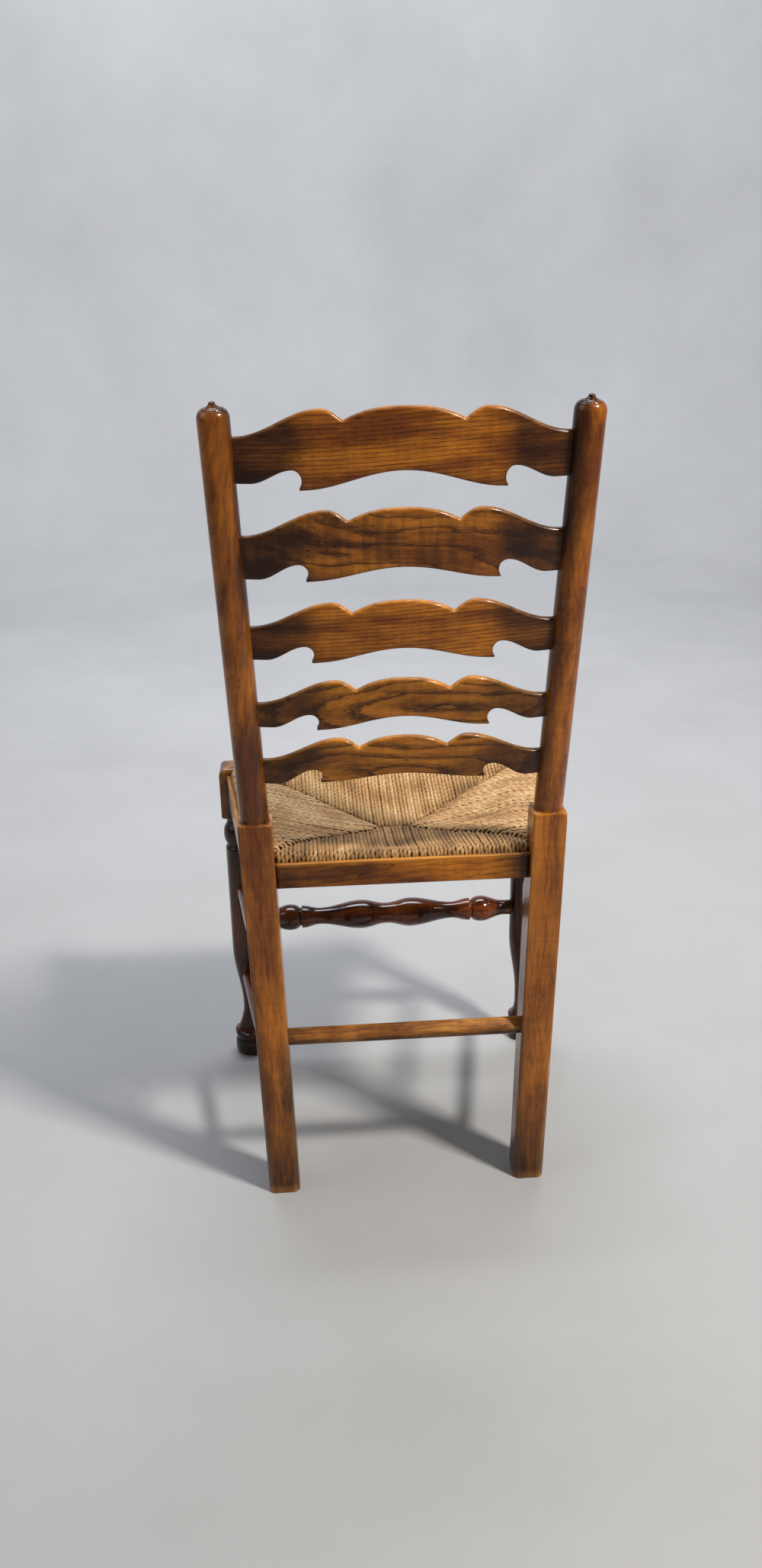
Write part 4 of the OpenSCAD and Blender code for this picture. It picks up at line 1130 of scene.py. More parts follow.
@dataclass
class EdgeStrips:
    """Four thin strips that cover the rolled edge of the rush."""

    lines: ChairLines
    thickness: float = 6.0
    height: float = 32.0
    edge_r: float = 1.1
    finish: StainedOak = field(default_factory=lambda: StainedOak(
        "polished_stained_oak_strip", light="#cc7a1c", body="#7a4212", ring_mm=9.0, ring_depth=0.4, wander=0.4,
        fleck=0.3, blotch=0.7, blotch_mm=60, gloss=0.36, coat=0.2))

    def section(self) -> Tuple[Array, Array]:
        """Section of a strip: a rectangle whose four corners are quarter circles, once round.

        Returns:
            Distances across and up from its middle.
        """
        w, h, r = self.thickness / 2, self.height / 2, self.edge_r
        c, s = arc(0, 90, 6)
        across, up = [], []
        for turn, (cx, cz) in enumerate(((w - r, h - r), (r - w, h - r), (r - w, r - h), (w - r, r - h))):
            sign = [(c, s), (-s, c), (-c, -s), (s, -c)][turn]
            across.append(cx + r * sign[0])
            up.append(cz + r * sign[1])
            if turn % 2:
                across.append(np.full(7, cx + r * sign[0][-1]))
                up.append(np.linspace(cz, -cz, 9)[1:-1])
        return np.concatenate(across), np.concatenate(up)

    def strip(self, name: str, node: str, start: Array, end: Array, skew: Array, material: bpy.types.Material,
              seed: int) -> bpy.types.Object:
        """Carries the section along a straight line.

        Args:
            name: Name of the piece.
            node: CAD node that it replaces.
            start: Middle of one end.
            end: Middle of the other end.
            skew: Direction of the section's width, so that the ends lie flat on what they meet.
            material: The finish.
            seed: Number that moves the grain.

        Returns:
            The piece.
        """
        across, up = self.section()
        t = np.linspace(0, 1, 60)
        middle = start + (end - start) * t[:, None]
        length = float(np.linalg.norm(end - start))
        bow = 0.35 * ripple(t * length / 30, t * 0, seed)
        points = middle[:, None] + across[None, :, None] * skew
        points[..., 2] += up + bow[:, None] * (up > 0)
        along = np.broadcast_to((t * length)[:, None], points.shape[:2])
        top = np.broadcast_to(smooth(self.height / 2 - 2.2, self.height / 2 - 0.3, up), points.shape[:2])
        grain = grain_of(along, up + 0.05 * along, across, seed)
        reach = np.minimum(along, length - along)
        stain_and_shade = np.clip(0.5 * smooth(70, 10, reach) + 0.1, 0, 1)
        mesh = loft(name, points[None], {"grain": grain[None], "wear": 0.75 * top[None], "stain_and_shade": stain_and_shade[None]})
        return add_piece(name, mesh, material, [node])

    def build(self) -> List[bpy.types.Object]:
        """Builds the four strips between the posts and the legs.

        Returns:
            The pieces.
        """
        material = self.finish.build()
        pieces = []
        for seed, node in enumerate(("front_edge_strip", "rear_edge_strip")):
            low, high = (np.array(v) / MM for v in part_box(node))
            mid = (low + high) / 2
            start, end = mid.copy(), mid.copy()
            start[0], end[0] = low[0], high[0]
            skew = np.array([0.0, 1.0, 0.0])
            pieces.append(self.strip(node + "_worn", node, start, end, skew, material, 80 + seed))
        low, high = (np.array(v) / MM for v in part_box("left_edge_strip"))
        rise = (high[0] - low[0]) / (high[1] - low[1])
        wide = self.thickness * math.sqrt(1 + rise ** 2)
        z = (low[2] + high[2]) / 2
        rear = np.array([low[0] + wide / 2, high[1], z])
        front = np.array([high[0] - wide / 2, low[1], z])
        for seed, (side, node) in enumerate(((1, "left_edge_strip"), (-1, "right_edge_strip"))):
            flip = np.array([side, 1.0, 1.0])
            skew = np.array([side * wide / self.thickness, 0.0, 0.0])
            pieces.append(self.strip(node + "_worn", node, front * flip, rear * flip, skew, material, 84 + seed))
        return pieces


@dataclass
class Stretchers:
    """The turned front stretcher, the eight-sided rear one, and four tapered round ones at the sides."""

    lines: ChairLines
    front_z: float = 231.0
    rear_z: float = 229.0
    side_z: Tuple[float, float] = (290.0, 143.0)
    tenon: float = 6.0
    leg_r: float = 22.0
    waist_r: float = 15.3
    vase: Tuple[float, float] = (37.0, 21.5)
    neck: Tuple[float, float] = (100.0, 12.3)
    ring: Tuple[float, float] = (125.0, 16.8)
    bulb: Tuple[float, float] = (145.0, 19.4)
    bulb_tail: float = 33.0
    end_r: float = 11.2
    usual_reach: float = 190.0
    rear_faces: Tuple[float, ...] = (10.5, 8.9, 10.5, 8.9, 10.5, 11.8, 10.5, 11.8)
    side_end_r: float = 8.5
    side_swell: float = 2.0
    around: int = 72
    # painted shade: the front and side stretchers stand under the seat, and these colours are far darker than the
    # posts' for the same stained oak, which paints in that shade
    turned: StainedOak = field(default_factory=lambda: StainedOak(
        "polished_stained_oak_spindle_painted_shade", light="#8a4216", body="#34170b", dark="#140906", worn="#a8662c",
        ring_mm=6.0, ring_depth=0.4, wander=0.4, fleck=0.25, blotch=0.4, gloss=0.16, coat=0.7))
    planed: StainedOak = field(default_factory=lambda: StainedOak(
        "polished_stained_oak_rail", light="#e09a48", body="#a8662c", ring_mm=6.0, ring_depth=0.4, wander=0.4,
        fleck=0.4, blotch=0.6, gloss=0.36, coat=0.25))

    def front_profile(self) -> Tuple[Array, Array]:
        """Profile of half the front stretcher: waist, vase, slender neck, ring, bulb and end.

        Half cosine waves join the waist, vase, neck and ring, and the bulb and its tail. The bulb's inner side
        is a quarter ellipse. A longer stretcher grows in its necks.

        Returns:
            Radius and distance from the middle of each ring.
        """
        reach = self.lines.leg_span / 2 - self.leg_r
        tail = reach - self.usual_reach
        knots = [(0, self.waist_r), self.vase, (self.neck[0] + tail / 2, self.neck[1]),
                 (self.ring[0] + tail, self.ring[1])]
        along, radius = [], []
        for (a, ra), (b, rb) in zip(knots, knots[1:]):
            t = np.linspace(0, 1, 22, endpoint=False)
            along.append(a + (b - a) * t)
            radius.append(ra + (rb - ra) * swing(t))
        c, s = arc(-78, 0, 12)
        edge = np.array([(0, 0), (1.3, 0.2), (2.2, -0.1), (2.7, -1.2), (2.9, -2.9), (3.8, -3.5), (4.6, -3.5)])
        t = np.linspace(0, 1, 20)[1:]
        bulb_at = self.bulb[0] + tail
        bulb_base = 12.2
        along += [self.ring[0] + tail + edge[:, 0], bulb_at + 15.4 * s, bulb_at + self.bulb_tail * t,
                  [reach + self.tenon]]
        radius += [self.ring[1] + edge[:, 1], bulb_base + (self.bulb[1] - bulb_base) * c,
                   self.bulb[1] + (self.end_r - self.bulb[1]) * swing(t), [self.end_r]]
        return np.concatenate(radius), np.concatenate(along)

    def build(self) -> List[bpy.types.Object]:
        """Builds the six stretchers.

        Returns:
            The pieces.
        """
        turned, planed = self.turned.build(), self.planed.build()
        theta = np.linspace(0, 2 * np.pi, self.around, endpoint=False)
        pieces = [self.front(theta, turned), self.rear(theta, planed)]
        for level, z in zip(("upper", "lower"), self.side_z):
            for side, hand in ((1, "left"), (-1, "right")):
                pieces.append(self.side(f"{level}_{hand}_stretcher", z, side, theta, turned))
        return pieces

    def front(self, theta: Array, material: bpy.types.Material) -> bpy.types.Object:
        """Makes the front stretcher: its profile and the same mirrored, carried round a level axis.

        Args:
            theta: Angles round it.
            material: The finish.

        Returns:
            The piece.
        """
        radius, along = self.front_profile()
        radius = np.concatenate([radius[::-1], radius[1:]])
        along = np.concatenate([-along[::-1], along[1:]])
        y = self.lines.rear_y - self.lines.seat_run
        rings = np.stack([np.broadcast_to(along[:, None], (len(along), len(theta))),
                          y + radius[:, None] * np.cos(theta), self.front_z + radius[:, None] * np.sin(theta)],
                         axis=-1)
        stain_and_shade = (0.5 * smooth(14.5, 12, radius) + 0.35 * smooth(8, 0, np.abs(along)))[:, None] + 0 * theta
        return self.spindle("front_stretcher", rings, radius, along, theta, stain_and_shade, material, 90)

    def rear(self, theta: Array, material: bpy.types.Material) -> bpy.types.Object:
        """Makes the rear stretcher: a softened octagon carried along a level line, with painted shade on its
        underside.

        Args:
            theta: Angles round it.
            material: The finish.

        Returns:
            The piece.
        """
        half = float(self.lines.post_x(self.rear_z)) - self.lines.post_square / 2 + self.tenon
        along = np.linspace(-half, half, 80)
        faces = np.radians(np.arange(8) * 45.0)
        reach = np.repeat(np.array(self.rear_faces)[None], len(along), axis=0)
        radius = soft_polygon(theta, faces, reach, 30.0)
        radius = radius + 0.15 * ripple(along[:, None] / 25, theta[None] * 2, 3)
        rings = np.stack([np.broadcast_to(along[:, None], radius.shape),
                          self.lines.rear_y + radius * np.cos(theta),
                          self.rear_z + radius * np.sin(theta)], axis=-1)
        # painted shade: the underside is darkened as if in shadow
        painted_underside_shade = 0.55 * smooth(0.1, -0.4, np.sin(theta))[None]
        stain_and_shade = np.clip(painted_underside_shade + 0.3 * smooth(60, 10, half - np.abs(along))[:, None], 0, 1)
        return self.spindle("rear_stretcher", rings, radius, along, theta, stain_and_shade, material, 91)

    def side(self, node: str, z: float, side: int, theta: Array, material: bpy.types.Material) -> bpy.types.Object:
        """Makes a side stretcher: a round that swells towards its middle by half a cosine wave.

        Args:
            node: CAD node that it replaces.
            z: Its height.
            side: 1 on the sitter's left and -1 on the right.
            theta: Angles round it.
            material: The finish.

        Returns:
            The piece.
        """
        start = np.array([float(self.lines.post_x(z)), self.lines.rear_y - self.lines.post_square / 2, z])
        end = np.array([self.lines.leg_span / 2, self.lines.rear_y - self.lines.seat_run + self.leg_r, z])
        length = float(np.linalg.norm(end - start))
        way = (end - start) / length
        along = np.linspace(-self.tenon, length + self.tenon, 60)
        nearest = np.minimum(along, length - along)
        radius = self.side_end_r + self.side_swell * swing(2 * np.clip(nearest / length, 0, 0.5))
        across = np.array([-way[1], way[0], 0.0])
        out = np.cos(theta)[:, None] * across + np.sin(theta)[:, None] * np.array([0.0, 0.0, 1.0])
        rings = start + along[:, None, None] * way + radius[:, None, None] * out
        rings = rings * np.array([side, 1.0, 1.0])
        stain_and_shade = np.clip(0.4 * smooth(40, 0, nearest), 0, 1)[:, None] + 0 * theta
        return self.spindle(node, rings, radius, along, theta, stain_and_shade, material, 92 + side)

    def spindle(self, node: str, rings: Array, radius: Array, along: Array, theta: Array, stain_and_shade: Array,
                material: bpy.types.Material, seed: int) -> bpy.types.Object:
        """Makes one stretcher from its rings, with rings of growth about a pith well off its own axis.

        Args:
            node: CAD node that it replaces.
            rings: Its points, of shape (m, n, 3).
            radius: Its radii, of shape (m,) or (m, n).
            along: Distance of each ring along it, of shape (m,).
            theta: Angles round it, of shape (n,).
            stain_and_shade: Extra darkness, of shape (m, n): stain, and on the rear stretcher painted shade
                underneath.
            material: The finish.
            seed: Number that moves the grain.

        Returns:
            The piece.
        """
        r = radius if radius.ndim == 2 else radius[:, None]
        ring = np.hypot(r * np.cos(theta) + 30, r * np.sin(theta) - 26 + 0.03 * along[:, None])
        grain = grain_of(along[:, None], ring, r * np.cos(theta), seed)
        wear = np.clip((r - 16.6) / 6, 0, 0.5) * (r < 18) + 0 * theta
        mesh = loft(node + "_turned", rings[None], {"grain": grain[None], "wear": wear[None],
                                                    "stain_and_shade": stain_and_shade[None]})
        return add_piece(node + "_turned", mesh, material, [node])


# ---- Rush seat ----


class Side(Enum):
    """The four fields of a rush seat, which meet along mitred seams."""

    REAR = "rear"
    FRONT = "front"
    LEFT = "left"
    RIGHT = "right"


@dataclass
class RushSeat:
    """A hand-woven seat: twisted cords laid side by side, rolled over the rails and drawn in at the seams.

    Heights follow a shallow dish: rim height less dish times (1 - u squared)(1 - v squared), where u and v
    run from -1 to 1 across and along the seat. Seat coordinates have y = 0 on the rear posts' axis.
    """

    lines: ChairLines
    cord_r: float = 2.62
    fold_r: float = 4.5
    rim_z: float = 484.0
    cap_z: float = 482.6
    dish: float = 26.0
    belly: float = 8.0
    under_z: float = 439.0
    mid_y: float = -142.0
    half_depth: float = 150.0
    half_width: float = 160.0
    narrowing: float = 0.12
    rear_face: float = 3.0
    front_face: float = -323.5
    side_face: Tuple[float, float] = (185.5, 218.5)
    side_run: Tuple[float, float] = (-20.0, -293.5)
    rear_corner: Tuple[float, float] = (152.0, -14.0)
    front_corner: Tuple[float, float] = (188.5, -293.5)
    tip: Tuple[float, float, float] = (24.0, -121.0, -133.0)
    counts: Tuple[int, int, int, int] = (62, 77, 25, 31)
    ply_lead: float = 19.0
    ply_depth: float = 0.17
    sink: float = 5.5
    sink_run: float = 6.5
    stuffing_half: Tuple[float, float] = (124.0, 118.0)
    stuffing_top: float = 456.0
    around: int = 10
    rows: Tuple[int, int, int, int] = (12, 60, 22, 28)
    finish: TwistedRush = field(default_factory=TwistedRush)

    def hollow(self, x: Array, y: Array) -> Array:
        """How far into the dish a point is, from 0 at the rim to 1 at the deepest."""
        v = (y - self.mid_y) / self.half_depth
        u = x / (self.half_width - (y - self.mid_y) * self.narrowing)
        return np.clip(1 - u ** 2, 0, 1) * np.clip(1 - v ** 2, 0, 1)

    def top(self, x: Array, y: Array) -> Array:
        """Height of the cords' crests on the upper face."""
        return np.minimum(self.rim_z - self.dish * self.hollow(x, y), self.cap_z)

    def under(self, x: Array, y: Array) -> Array:
        """Height of the cords' crests on the lower face."""
        return self.under_z - self.belly * self.hollow(x, y)

    def face_x(self, y: Array) -> Array:
        """Distance of the side faces from the middle."""
        t = (self.side_run[0] - y) / (self.side_run[0] - self.side_run[1])
        return self.side_face[0] + (self.side_face[1] - self.side_face[0]) * t

    def rear_seam(self, x: Array) -> Array:
        """Depth of the seam behind the tip at a distance x from the middle: a line with a slow bulge."""
        t = np.clip((self.rear_corner[0] - np.abs(x)) / (self.rear_corner[0] - self.tip[0]), 0, 1)
        return self.rear_corner[1] + (self.tip[1] - self.rear_corner[1]) * t - 24 * t * (1 - t)

    def front_seam(self, x: Array) -> Array:
        """Depth of the seam before the tip: a line whose bulge is greatest near the front block."""
        t = np.clip((np.abs(x) - self.tip[0]) / (self.front_corner[0] - self.tip[0]), 0, 1)
        return self.tip[2] + (self.front_corner[1] - self.tip[2]) * t + 200 * t ** 4 * (1 - t)

    def cords(self, side: Side) -> Tuple[Array, Array, Array, Array]:
        """Lists a field's cords.

        Args:
            side: Which field.

        Returns:
            For each cord: distance out at the seam, distance out at the outer face, sideways place at the
            rail and sideways place at the seam.
        """
        rear, front, side_rear, side_front = self.counts
        if side in (Side.REAR, Side.FRONT):
            count = rear if side is Side.REAR else front
            reach = self.rear_corner[0] if side is Side.REAR else self.front_corner[0]
            x = ((np.arange(count) + 0.5) / count * 2 - 1) * (reach - 0.4)
            seam = self.rear_seam(x) if side is Side.REAR else self.front_seam(x)
            middle = np.abs(x) < self.tip[0]
            seam = np.where(middle, (self.tip[1] + self.tip[2]) / 2, seam)
            drawn_in = x * 0.985
            if side is Side.REAR:
                return seam, np.full(count, self.rear_face), x, drawn_in
            return -seam, np.full(count, -self.front_face), x, drawn_in
        count = side_rear + side_front
        start, stop = self.side_run
        at_rail = start + (stop - start) * (np.arange(count) + 0.5) / count
        meet = (self.tip[1] + self.tip[2]) / 2
        low = self.rear_corner[1] + (meet - self.rear_corner[1]) * (np.arange(side_rear) + 0.5) / side_rear
        high = meet + (self.front_corner[1] - meet) * (np.arange(side_front) + 0.5) / side_front
        at_seam = np.concatenate([low, high])
        x = np.linspace(self.rear_corner[0], self.tip[0] - 4, 600)
        rear_x = np.interp(-low, -self.rear_seam(x), x)
        x = np.linspace(self.tip[0] - 4, self.front_corner[0], 600)
        front_x = np.interp(-high, -self.front_seam(x), x)
        return np.concatenate([rear_x, front_x]), self.face_x(at_rail), at_rail, at_seam

    def centre_lines(self, side: Side, draw: np.random.Generator) -> Tuple[Array, Array, Array]:
        """Paths of a field's cords: out along the top, over the fold, down, and back underneath.

        The folds are quarter circles joined by a straight drop, and each cord sinks at the seam by a cubic step.

        Args:
            side: Which field.
            draw: The field's random numbers.

        Returns:
            Distance out, sideways place and height, each of shape (cords, rows).
        """
        seam, face, rail_q, seam_q = (v[:, None] for v in self.cords(side))
        count = len(seam)
        r, fold = self.cord_r, self.fold_r
        n_sink, n_top, n_fold, n_under = self.rows
        edge = face - r - fold
        sink_t = np.linspace(0, 1, n_sink, endpoint=False)[None]
        run_t = np.linspace(0, 1, n_top, endpoint=False)[None]
        fold_t = np.linspace(0, 1, n_fold, endpoint=False)[None]
        under_t = np.linspace(0, 1, n_under)[None]
        near = seam + self.sink_run
        p_top = np.concatenate([seam + self.sink_run * sink_t, near + (edge - near) * run_t], axis=1)
        p_under = edge + (seam - edge) * under_t
        sign = -1.0 if side is Side.FRONT else 1.0

        def place(p: Array) -> Tuple[Array, Array, Array]:
            """Places points of the cords, which are drawn sideways by a square law from rail to seam.

            Args:
                p: Distance out.

            Returns:
                Sideways place, seat x and seat y.
            """
            tau = np.clip((face - p) / (face - seam), 0, 1)
            q = rail_q + (seam_q - rail_q) * tau ** 2
            if side in (Side.REAR, Side.FRONT):
                return q, q, sign * p
            return q, p, q

        q_top, x, y = place(p_top)
        loose = draw.normal(0, 0.4, (count, 1))
        z_top = self.top(x, y) - r + loose
        z_top[:, :n_sink] -= self.sink * (1 - smooth(0.0, 1.0, sink_t))
        q_under, x, y = place(p_under)
        z_under = self.under(x, y) + r
        z_under = z_under + 5.0 * smooth(0.92, 1.0, under_t)
        high, low = z_top[:, -1:], z_under[:, :1]
        q_edge = q_top[:, -1:]
        length = np.pi / 2 * fold
        run = high - low - 2 * fold
        d = fold_t * (2 * length + run)
        first, last = np.clip(d / length, 0, 1), np.clip((d - length - run) / length, 0, 1)
        p_fold = edge + fold * np.sin(np.pi / 2 * first) - fold * (1 - np.cos(np.pi / 2 * last))
        z_fold = (high - fold * (1 - np.cos(np.pi / 2 * first)) - np.clip(d - length, 0, run)
                  - fold * np.sin(np.pi / 2 * last))
        p = np.concatenate([p_top, p_fold, p_under], axis=1)
        q = np.concatenate([q_top, np.broadcast_to(q_edge, p_fold.shape), q_under], axis=1)
        z = np.concatenate([z_top, z_fold, z_under], axis=1)
        for _ in range(3):
            p[:, 1:-1] = (p[:, :-2] + 2 * p[:, 1:-1] + p[:, 2:]) / 4
            z[:, 1:-1] = (z[:, :-2] + 2 * z[:, 1:-1] + z[:, 2:]) / 4
        return p, q, z

    def field(self, side: Side, material: bpy.types.Material, seed: int) -> bpy.types.Object:
        """Makes one field of cords.

        Each cord is a tube about its path. Its radius swells and thins slowly, and swings twice a turn by
        the ply depth, and the swing turns once per lead, which draws the two twisted plies.

        Args:
            side: Which field.
            material: The rush.
            seed: Number that fixes its unevenness.

        Returns:
            The piece.
        """
        draw = np.random.default_rng(seed)
        p, q, z = self.centre_lines(side, draw)
        count = len(p)
        step = np.sqrt(np.diff(p, axis=1) ** 2 + np.diff(z, axis=1) ** 2 + np.diff(q, axis=1) ** 2)
        along = np.concatenate([np.zeros((count, 1)), np.cumsum(step, axis=1)], axis=1)
        number = np.arange(count)[:, None]
        wander = 0.7 * ripple(along / 22, number * 0.35, seed) + 0.5 * ripple(along / 9, number * 1.7, seed + 1)
        q = q + wander + draw.normal(0, 0.22, (count, 1))
        z = z + 0.6 * ripple(along / 11, number * 2.3, seed + 2)
        tangent = np.stack([np.gradient(p, axis=1), np.gradient(z, axis=1)], axis=-1)
        tangent /= np.linalg.norm(tangent, axis=-1, keepdims=True)
        pace = np.maximum(np.hypot(np.gradient(p, axis=1), np.gradient(z, axis=1)), 1e-6)
        slope = np.clip(np.gradient(q, axis=1) / pace, -0.5, 0.5)
        phi = np.linspace(0, 2 * np.pi, self.around, endpoint=False)
        start = draw.uniform(0, 2 * np.pi, (count, 1))
        lead = self.ply_lead * draw.uniform(0.88, 1.15, (count, 1))
        turn = start + 2 * np.pi * along / lead + 0.5 * ripple(along / 16, number * 1.1, seed + 3)
        uneven = 0.07 * ripple(along / 18, number * 1.9, seed + 4)
        girth = self.cord_r * (1 + uneven + draw.normal(0, 0.03, (count, 1)))
        girth = girth * (0.72 + 0.28 * smooth(0, 7, along))
        if side in (Side.LEFT, Side.RIGHT):
            girth = girth * 0.96
            z = z + 0.7 * ripple(along / 17, number * 3.1, seed + 6)
        ply = np.cos(2 * (phi - turn[..., None]))
        r = girth[..., None] * (1 + self.ply_depth * ply)
        out_p = -tangent[..., 1]
        out_z = tangent[..., 0]
        up = r * np.cos(phi)
        over = r * np.sin(phi)
        pp = p[..., None] + up * out_p[..., None] - over * slope[..., None] * tangent[..., 0:1]
        zz = z[..., None] + up * out_z[..., None] - over * slope[..., None] * tangent[..., 1:2]
        qq = q[..., None] + over
        if side is Side.REAR:
            x, y = qq, pp
        elif side is Side.FRONT:
            x, y = qq, -pp
        else:
            x, y = (pp, qq) if side is Side.LEFT else (-pp, qq)
        points = np.stack([x, y + self.lines.rear_y, zz], axis=-1)
        helix = self.cord_r * (phi - turn[..., None])
        apart = 40.0 * number[..., None] + 900 * seed
        cord = np.stack(np.broadcast_arrays(along[..., None], helix, apart), axis=-1)
        # painted shade: crest is low in the valleys between cords and over each cord's first 7 mm at its seam, and
        # the shader darkens it there
        crest = np.clip(np.cos(phi) * 0.8 + 0.08 + 0.42 * ply, 0, 1)
        crest = crest * smooth(-1.0, 7.0, along)[..., None]
        tone = 0.5 + draw.normal(0, 0.07, (count, 1)) + 0.34 * ripple(along / 8, number / 0.9, seed + 5)
        # the tone also carries painted shade: the bottom slat's shadow on the rear field and one band in the left
        # field
        tone = tone + self.tone_shifts_and_painted_shade(side, number, along)
        tone = np.broadcast_to(np.clip(tone, 0, 1)[..., None], crest.shape)
        mesh = loft(f"rush_{side.value}_field", points, {"cord": cord * MM, "tone": tone, "crest": crest})
        return add_piece(f"rush_{side.value}_field", mesh, material, ["rush_seat"])

    def tone_shifts_and_painted_shade(self, side: Side, number: Array, along: Array) -> Array:
        """Slow change of tone over a field: darker near the seams, painted shadow of the bottom slat over the rear
        field, and in the left field a lighter tone crossed by one band of painted shade.

        Args:
            side: Which field.
            number: Number of each cord, from 0.
            along: Distance along each cord from its seam.

        Returns:
            What is added to the tone, of the broadcast shape.
        """
        change = -0.12 * smooth(40, 0, along)
        # the left field is lighter overall, with one darker band of painted shade about cord 15
        if side is Side.LEFT:
            change = change + 0.14 - 0.3 * np.exp(-((number - 15) / 4.0) ** 2)
        # painted shadow: the bottom slat's shadow, darkening the whole rear field
        if side is Side.REAR:
            change = change - 0.2
        return change

    def stuffing(self) -> bpy.types.Object:
        """Makes the loose rush between the layers.

        It is a lumpy lens on an ellipse, and its height falls off as the root of 1 less the radius squared.

        Returns:
            The piece.
        """
        rings, around = 40, 72
        t = np.linspace(0.04, 0.985, rings)
        angle = np.linspace(0, 2 * np.pi, around, endpoint=False)[None]
        t = np.concatenate([t, [1.0], t[::-1]])
        side = np.concatenate([np.ones(rings), [0.0], -np.ones(rings)])
        x = self.stuffing_half[0] * t[:, None] * np.cos(angle)
        y = self.mid_y - 13 + self.stuffing_half[1] * t[:, None] * np.sin(angle)
        lump = 0.8 * ripple(x / 7, y / 7, 8) + 0.5 * ripple(x / 3, y / 16, 9)
        high = np.minimum(self.top(x, y) - 2 * self.cord_r - 1.2, self.stuffing_top)
        low = self.under(x, y) + 2 * self.cord_r + 1.0
        mid = (high + low) / 2
        z = mid + side[:, None] * (high - low) / 2 * np.sqrt(1 - t[:, None] ** 2) + lump * (1 - t[:, None] ** 4)
        points = np.stack([x, y + self.lines.rear_y, z], axis=-1)
        mesh = loft("loose_rush_stuffing", points[None], {})
        # dried leaves pushed in dry: dull, with no twist
        material = PlainMottled("loose_rush_stuffing", "#8f7348", "#4b3a22", 4.0, 0.8,
                                stretch=(3.0, 1.0, 1.0)).build()
        piece = add_piece("loose_rush_stuffing", mesh, material, ["rush_padding"])
        return piece

    def build(self) -> List[bpy.types.Object]:
        """Builds the four fields and the stuffing.

        Returns:
            The pieces.
        """
        material = self.finish.build()
        pieces = [self.field(side, material, 200 + 10 * k) for k, side in enumerate(Side)]
        return pieces + [self.stuffing()]


# ---- Hidden pieces kept from the design ----


@dataclass
class HiddenPieces:
    """Seat rails, tenon pins and slat pegs, which keep their own shapes and get their finishes here."""

    rails: Tuple[str, ...] = ("front_seat_rail", "rear_seat_rail", "left_seat_rail", "right_seat_rail")

    def dress(self) -> None:
        """Gives each kept node its finish."""
        # beech straight from the saw is pale and dull, drawn steel is bright, and cleft oak takes the same stain
        sawn = PlainMottled("sawn_beech_rail", "#a0764a", "#7a5634", 12.0, 0.7, stretch=(1.0, 3.0, 1.0)).build()
        iron = PlainMottled("bright_steel_pin", "#a9a9a6", "#8d8d8b", 6.0, 0.35, metallic=1.0).build()
        pegs = PlainMottled("cleft_oak_peg", "#6a3c1b", "#40210f", 3.0, 0.45).build()
        for name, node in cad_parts.items():
            finish = sawn if name in self.rails else iron if "pin" in name else pegs if "peg" in name else None
            if finish:
                node.data.materials.clear()
                node.data.materials.append(finish)
                LOG.info("%s: %s", name, finish.name)


# ---- Studio ----


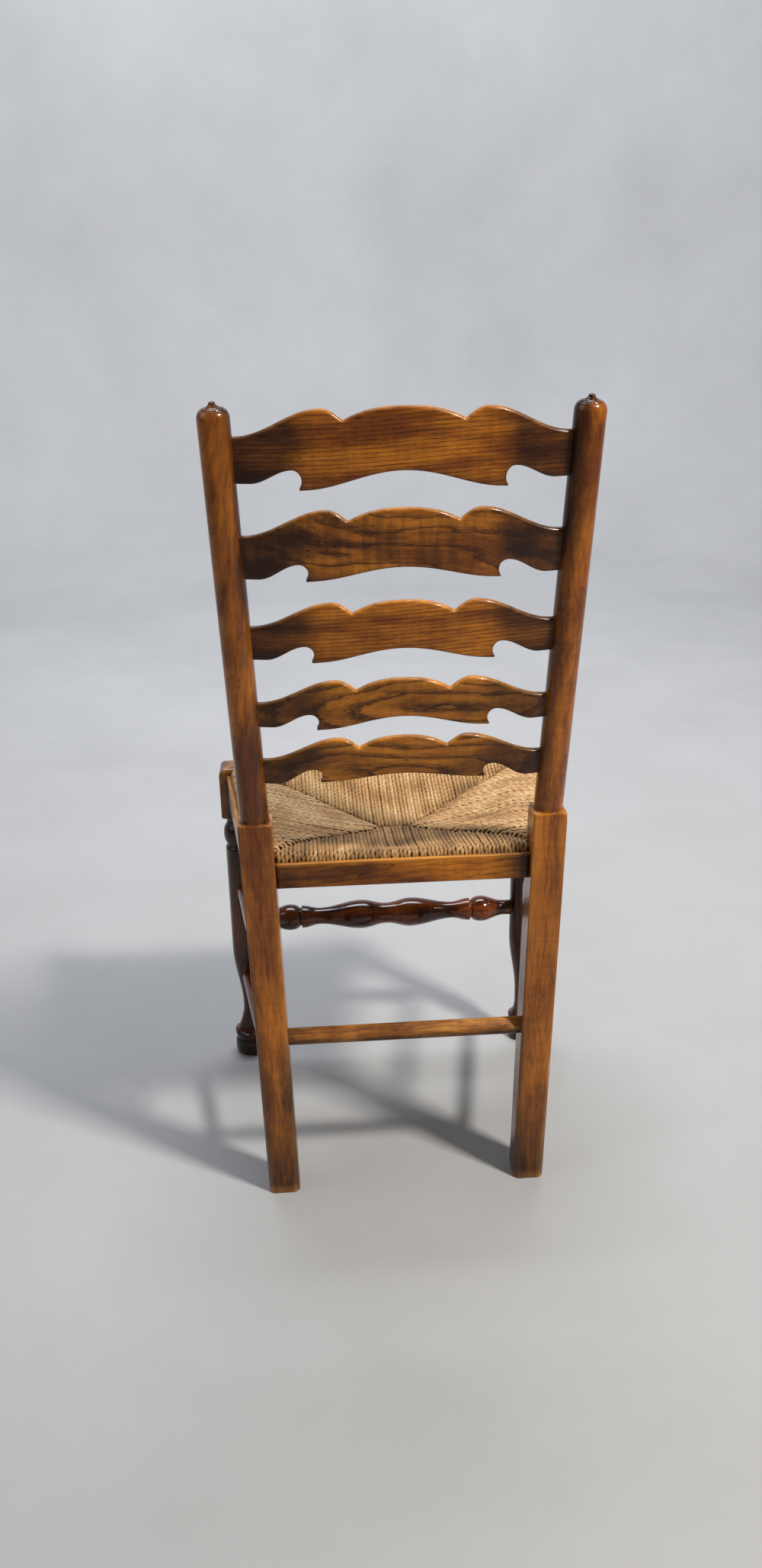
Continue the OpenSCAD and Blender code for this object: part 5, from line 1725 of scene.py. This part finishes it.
@dataclass
class Studio:
    """A pale floor, one soft lamp, a weak fill, grey surroundings and the camera."""

    eye: Tuple[float, float, float] = (0.1093, 1.4281, 1.0763)
    yaw: float = 3.73
    pitch: float = 21.45
    roll: float = -0.97
    lens_mm: float = 27.43

    def floor(self) -> None:
        """Lays the floor: a wide disc that curves up to a pale wall far from the chair."""
        flat, bend, wall = 3.6, 1.6, 4.5
        c, s = arc(-90, 0, 16)
        out = np.concatenate([np.linspace(0.3, flat, 12), flat + bend * c, [flat + bend]])
        up = np.concatenate([np.zeros(12), bend * (1 + s), [wall]])
        angle = np.linspace(0, 2 * np.pi, 96, endpoint=False)
        rings = np.stack([out[:, None] * np.cos(angle), out[:, None] * np.sin(angle),
                          np.broadcast_to(up[:, None], (len(out), 96))], axis=-1)
        mesh = bpy.data.meshes.new("studio_floor")
        index = np.arange(len(out) * 96).reshape(len(out), 96)
        after = np.roll(index, -1, axis=1)
        quads = np.stack([index[:-1], index[1:], after[1:], after[:-1]], axis=-1).reshape(-1, 4)
        centre = np.stack([index[0], after[0], np.full(96, index.size)], axis=-1)
        points = rings.reshape(-1, 3).tolist() + [[0.0, 0.0, 0.0]]
        mesh.from_pydata(points, [], quads.tolist() + centre.tolist())
        mesh.polygons.foreach_set("use_smooth", np.ones(len(mesh.polygons), bool))
        piece = bpy.data.objects.new("studio_floor", mesh)
        bpy.context.scene.collection.objects.link(piece)
        mesh.materials.append(PlainMottled("painted_studio_floor", "#b0b0b0", "#a6a6a5", 600.0, 0.8).build())

    def lamp(self, name: str, place: Sequence[float], aim: Sequence[float], size: float, watts: float,
             colour: str) -> None:
        """Hangs a square soft lamp.

        Args:
            name: Name of the lamp.
            place: Where it hangs, in metres.
            aim: What it points at.
            size: Width in metres.
            watts: Power.
            colour: Hex colour of its light.
        """
        light = bpy.data.lights.new(name, "AREA")
        light.size = size
        light.energy = watts
        light.color = linear(colour)[:3]
        hung = bpy.data.objects.new(name, light)
        hung.location = place
        hung.rotation_euler = (Vector(aim) - Vector(place)).to_track_quat("-Z", "Y").to_euler()
        bpy.context.scene.collection.objects.link(hung)

    def surroundings(self, colour: str, strength: float) -> None:
        """Sets the grey light that comes from everywhere.

        Args:
            colour: Hex colour of the light.
            strength: Its strength.
        """
        world = bpy.data.worlds.new("studio_air")
        world.use_nodes = True
        back = world.node_tree.nodes["Background"]
        back.inputs["Color"].default_value = linear(colour)
        back.inputs["Strength"].default_value = strength
        bpy.context.scene.world = world

    def camera(self) -> None:
        """Places the camera by its yaw, pitch and roll, in degrees."""
        yaw, pitch, roll = (math.radians(v) for v in (self.yaw, self.pitch, self.roll))
        ahead = Vector((-math.sin(yaw) * math.cos(pitch), -math.cos(yaw) * math.cos(pitch), -math.sin(pitch)))
        right = ahead.cross(Vector((0, 0, 1))).normalized()
        above = right.cross(ahead)
        level = right * math.cos(roll) + above * math.sin(roll)
        upward = above * math.cos(roll) - right * math.sin(roll)
        lens = bpy.data.cameras.new("main_camera")
        lens.lens = self.lens_mm
        lens.sensor_width = 36
        lens.clip_start = 0.01
        eye = bpy.data.objects.new("main_camera", lens)
        turn = Matrix((level, upward, -ahead)).transposed().to_4x4()
        eye.matrix_world = Matrix.Translation(self.eye) @ turn
        bpy.context.scene.collection.objects.link(eye)
        bpy.context.scene.camera = eye

    def build(self) -> None:
        """Sets up the whole studio."""
        self.floor()
        # the key hangs behind the chair on the sitter's right, and throws its shadow to the front left
        self.lamp("key_lamp", (-1.55, 1.35, 2.75), (0, 0, 0.45), 0.36, 105, "#fffaf2")
        self.lamp("fill_lamp", (2.6, 0.4, 2.6), (0, 0, 0.4), 2.0, 22, "#eef3ff")
        self.lamp("backdrop_lamp", (0.0, -1.6, 4.2), (0, -4.6, 1.2), 2.5, 235, "#f2f6ff")
        self.surroundings("#dfe3e8", 0.2)
        self.camera()
        # a plain transform keeps the dark polish deep
        bpy.context.scene.view_settings.view_transform = "Standard"


# ---- The chair ----


@dataclass
class DiningChair:
    """The whole chair."""

    lines: ChairLines = field(default_factory=ChairLines)

    def build(self) -> List[bpy.types.Object]:
        """Builds every sub-assembly.

        Returns:
            All the new pieces.
        """
        parts = (BackPosts(self.lines), FrontLegs(self.lines), LadderSlats(self.lines), EdgeStrips(self.lines),
                 Stretchers(self.lines), RushSeat(self.lines))
        pieces = [piece for part in parts for piece in part.build()]
        HiddenPieces().dress()
        return pieces


def main() -> None:
    """Builds the chair and its studio."""
    logging.basicConfig(level=logging.INFO)
    pieces = DiningChair().build()
    Studio().build()
    bpy.context.view_layer.update()


if __name__ == "__main__":
    main()
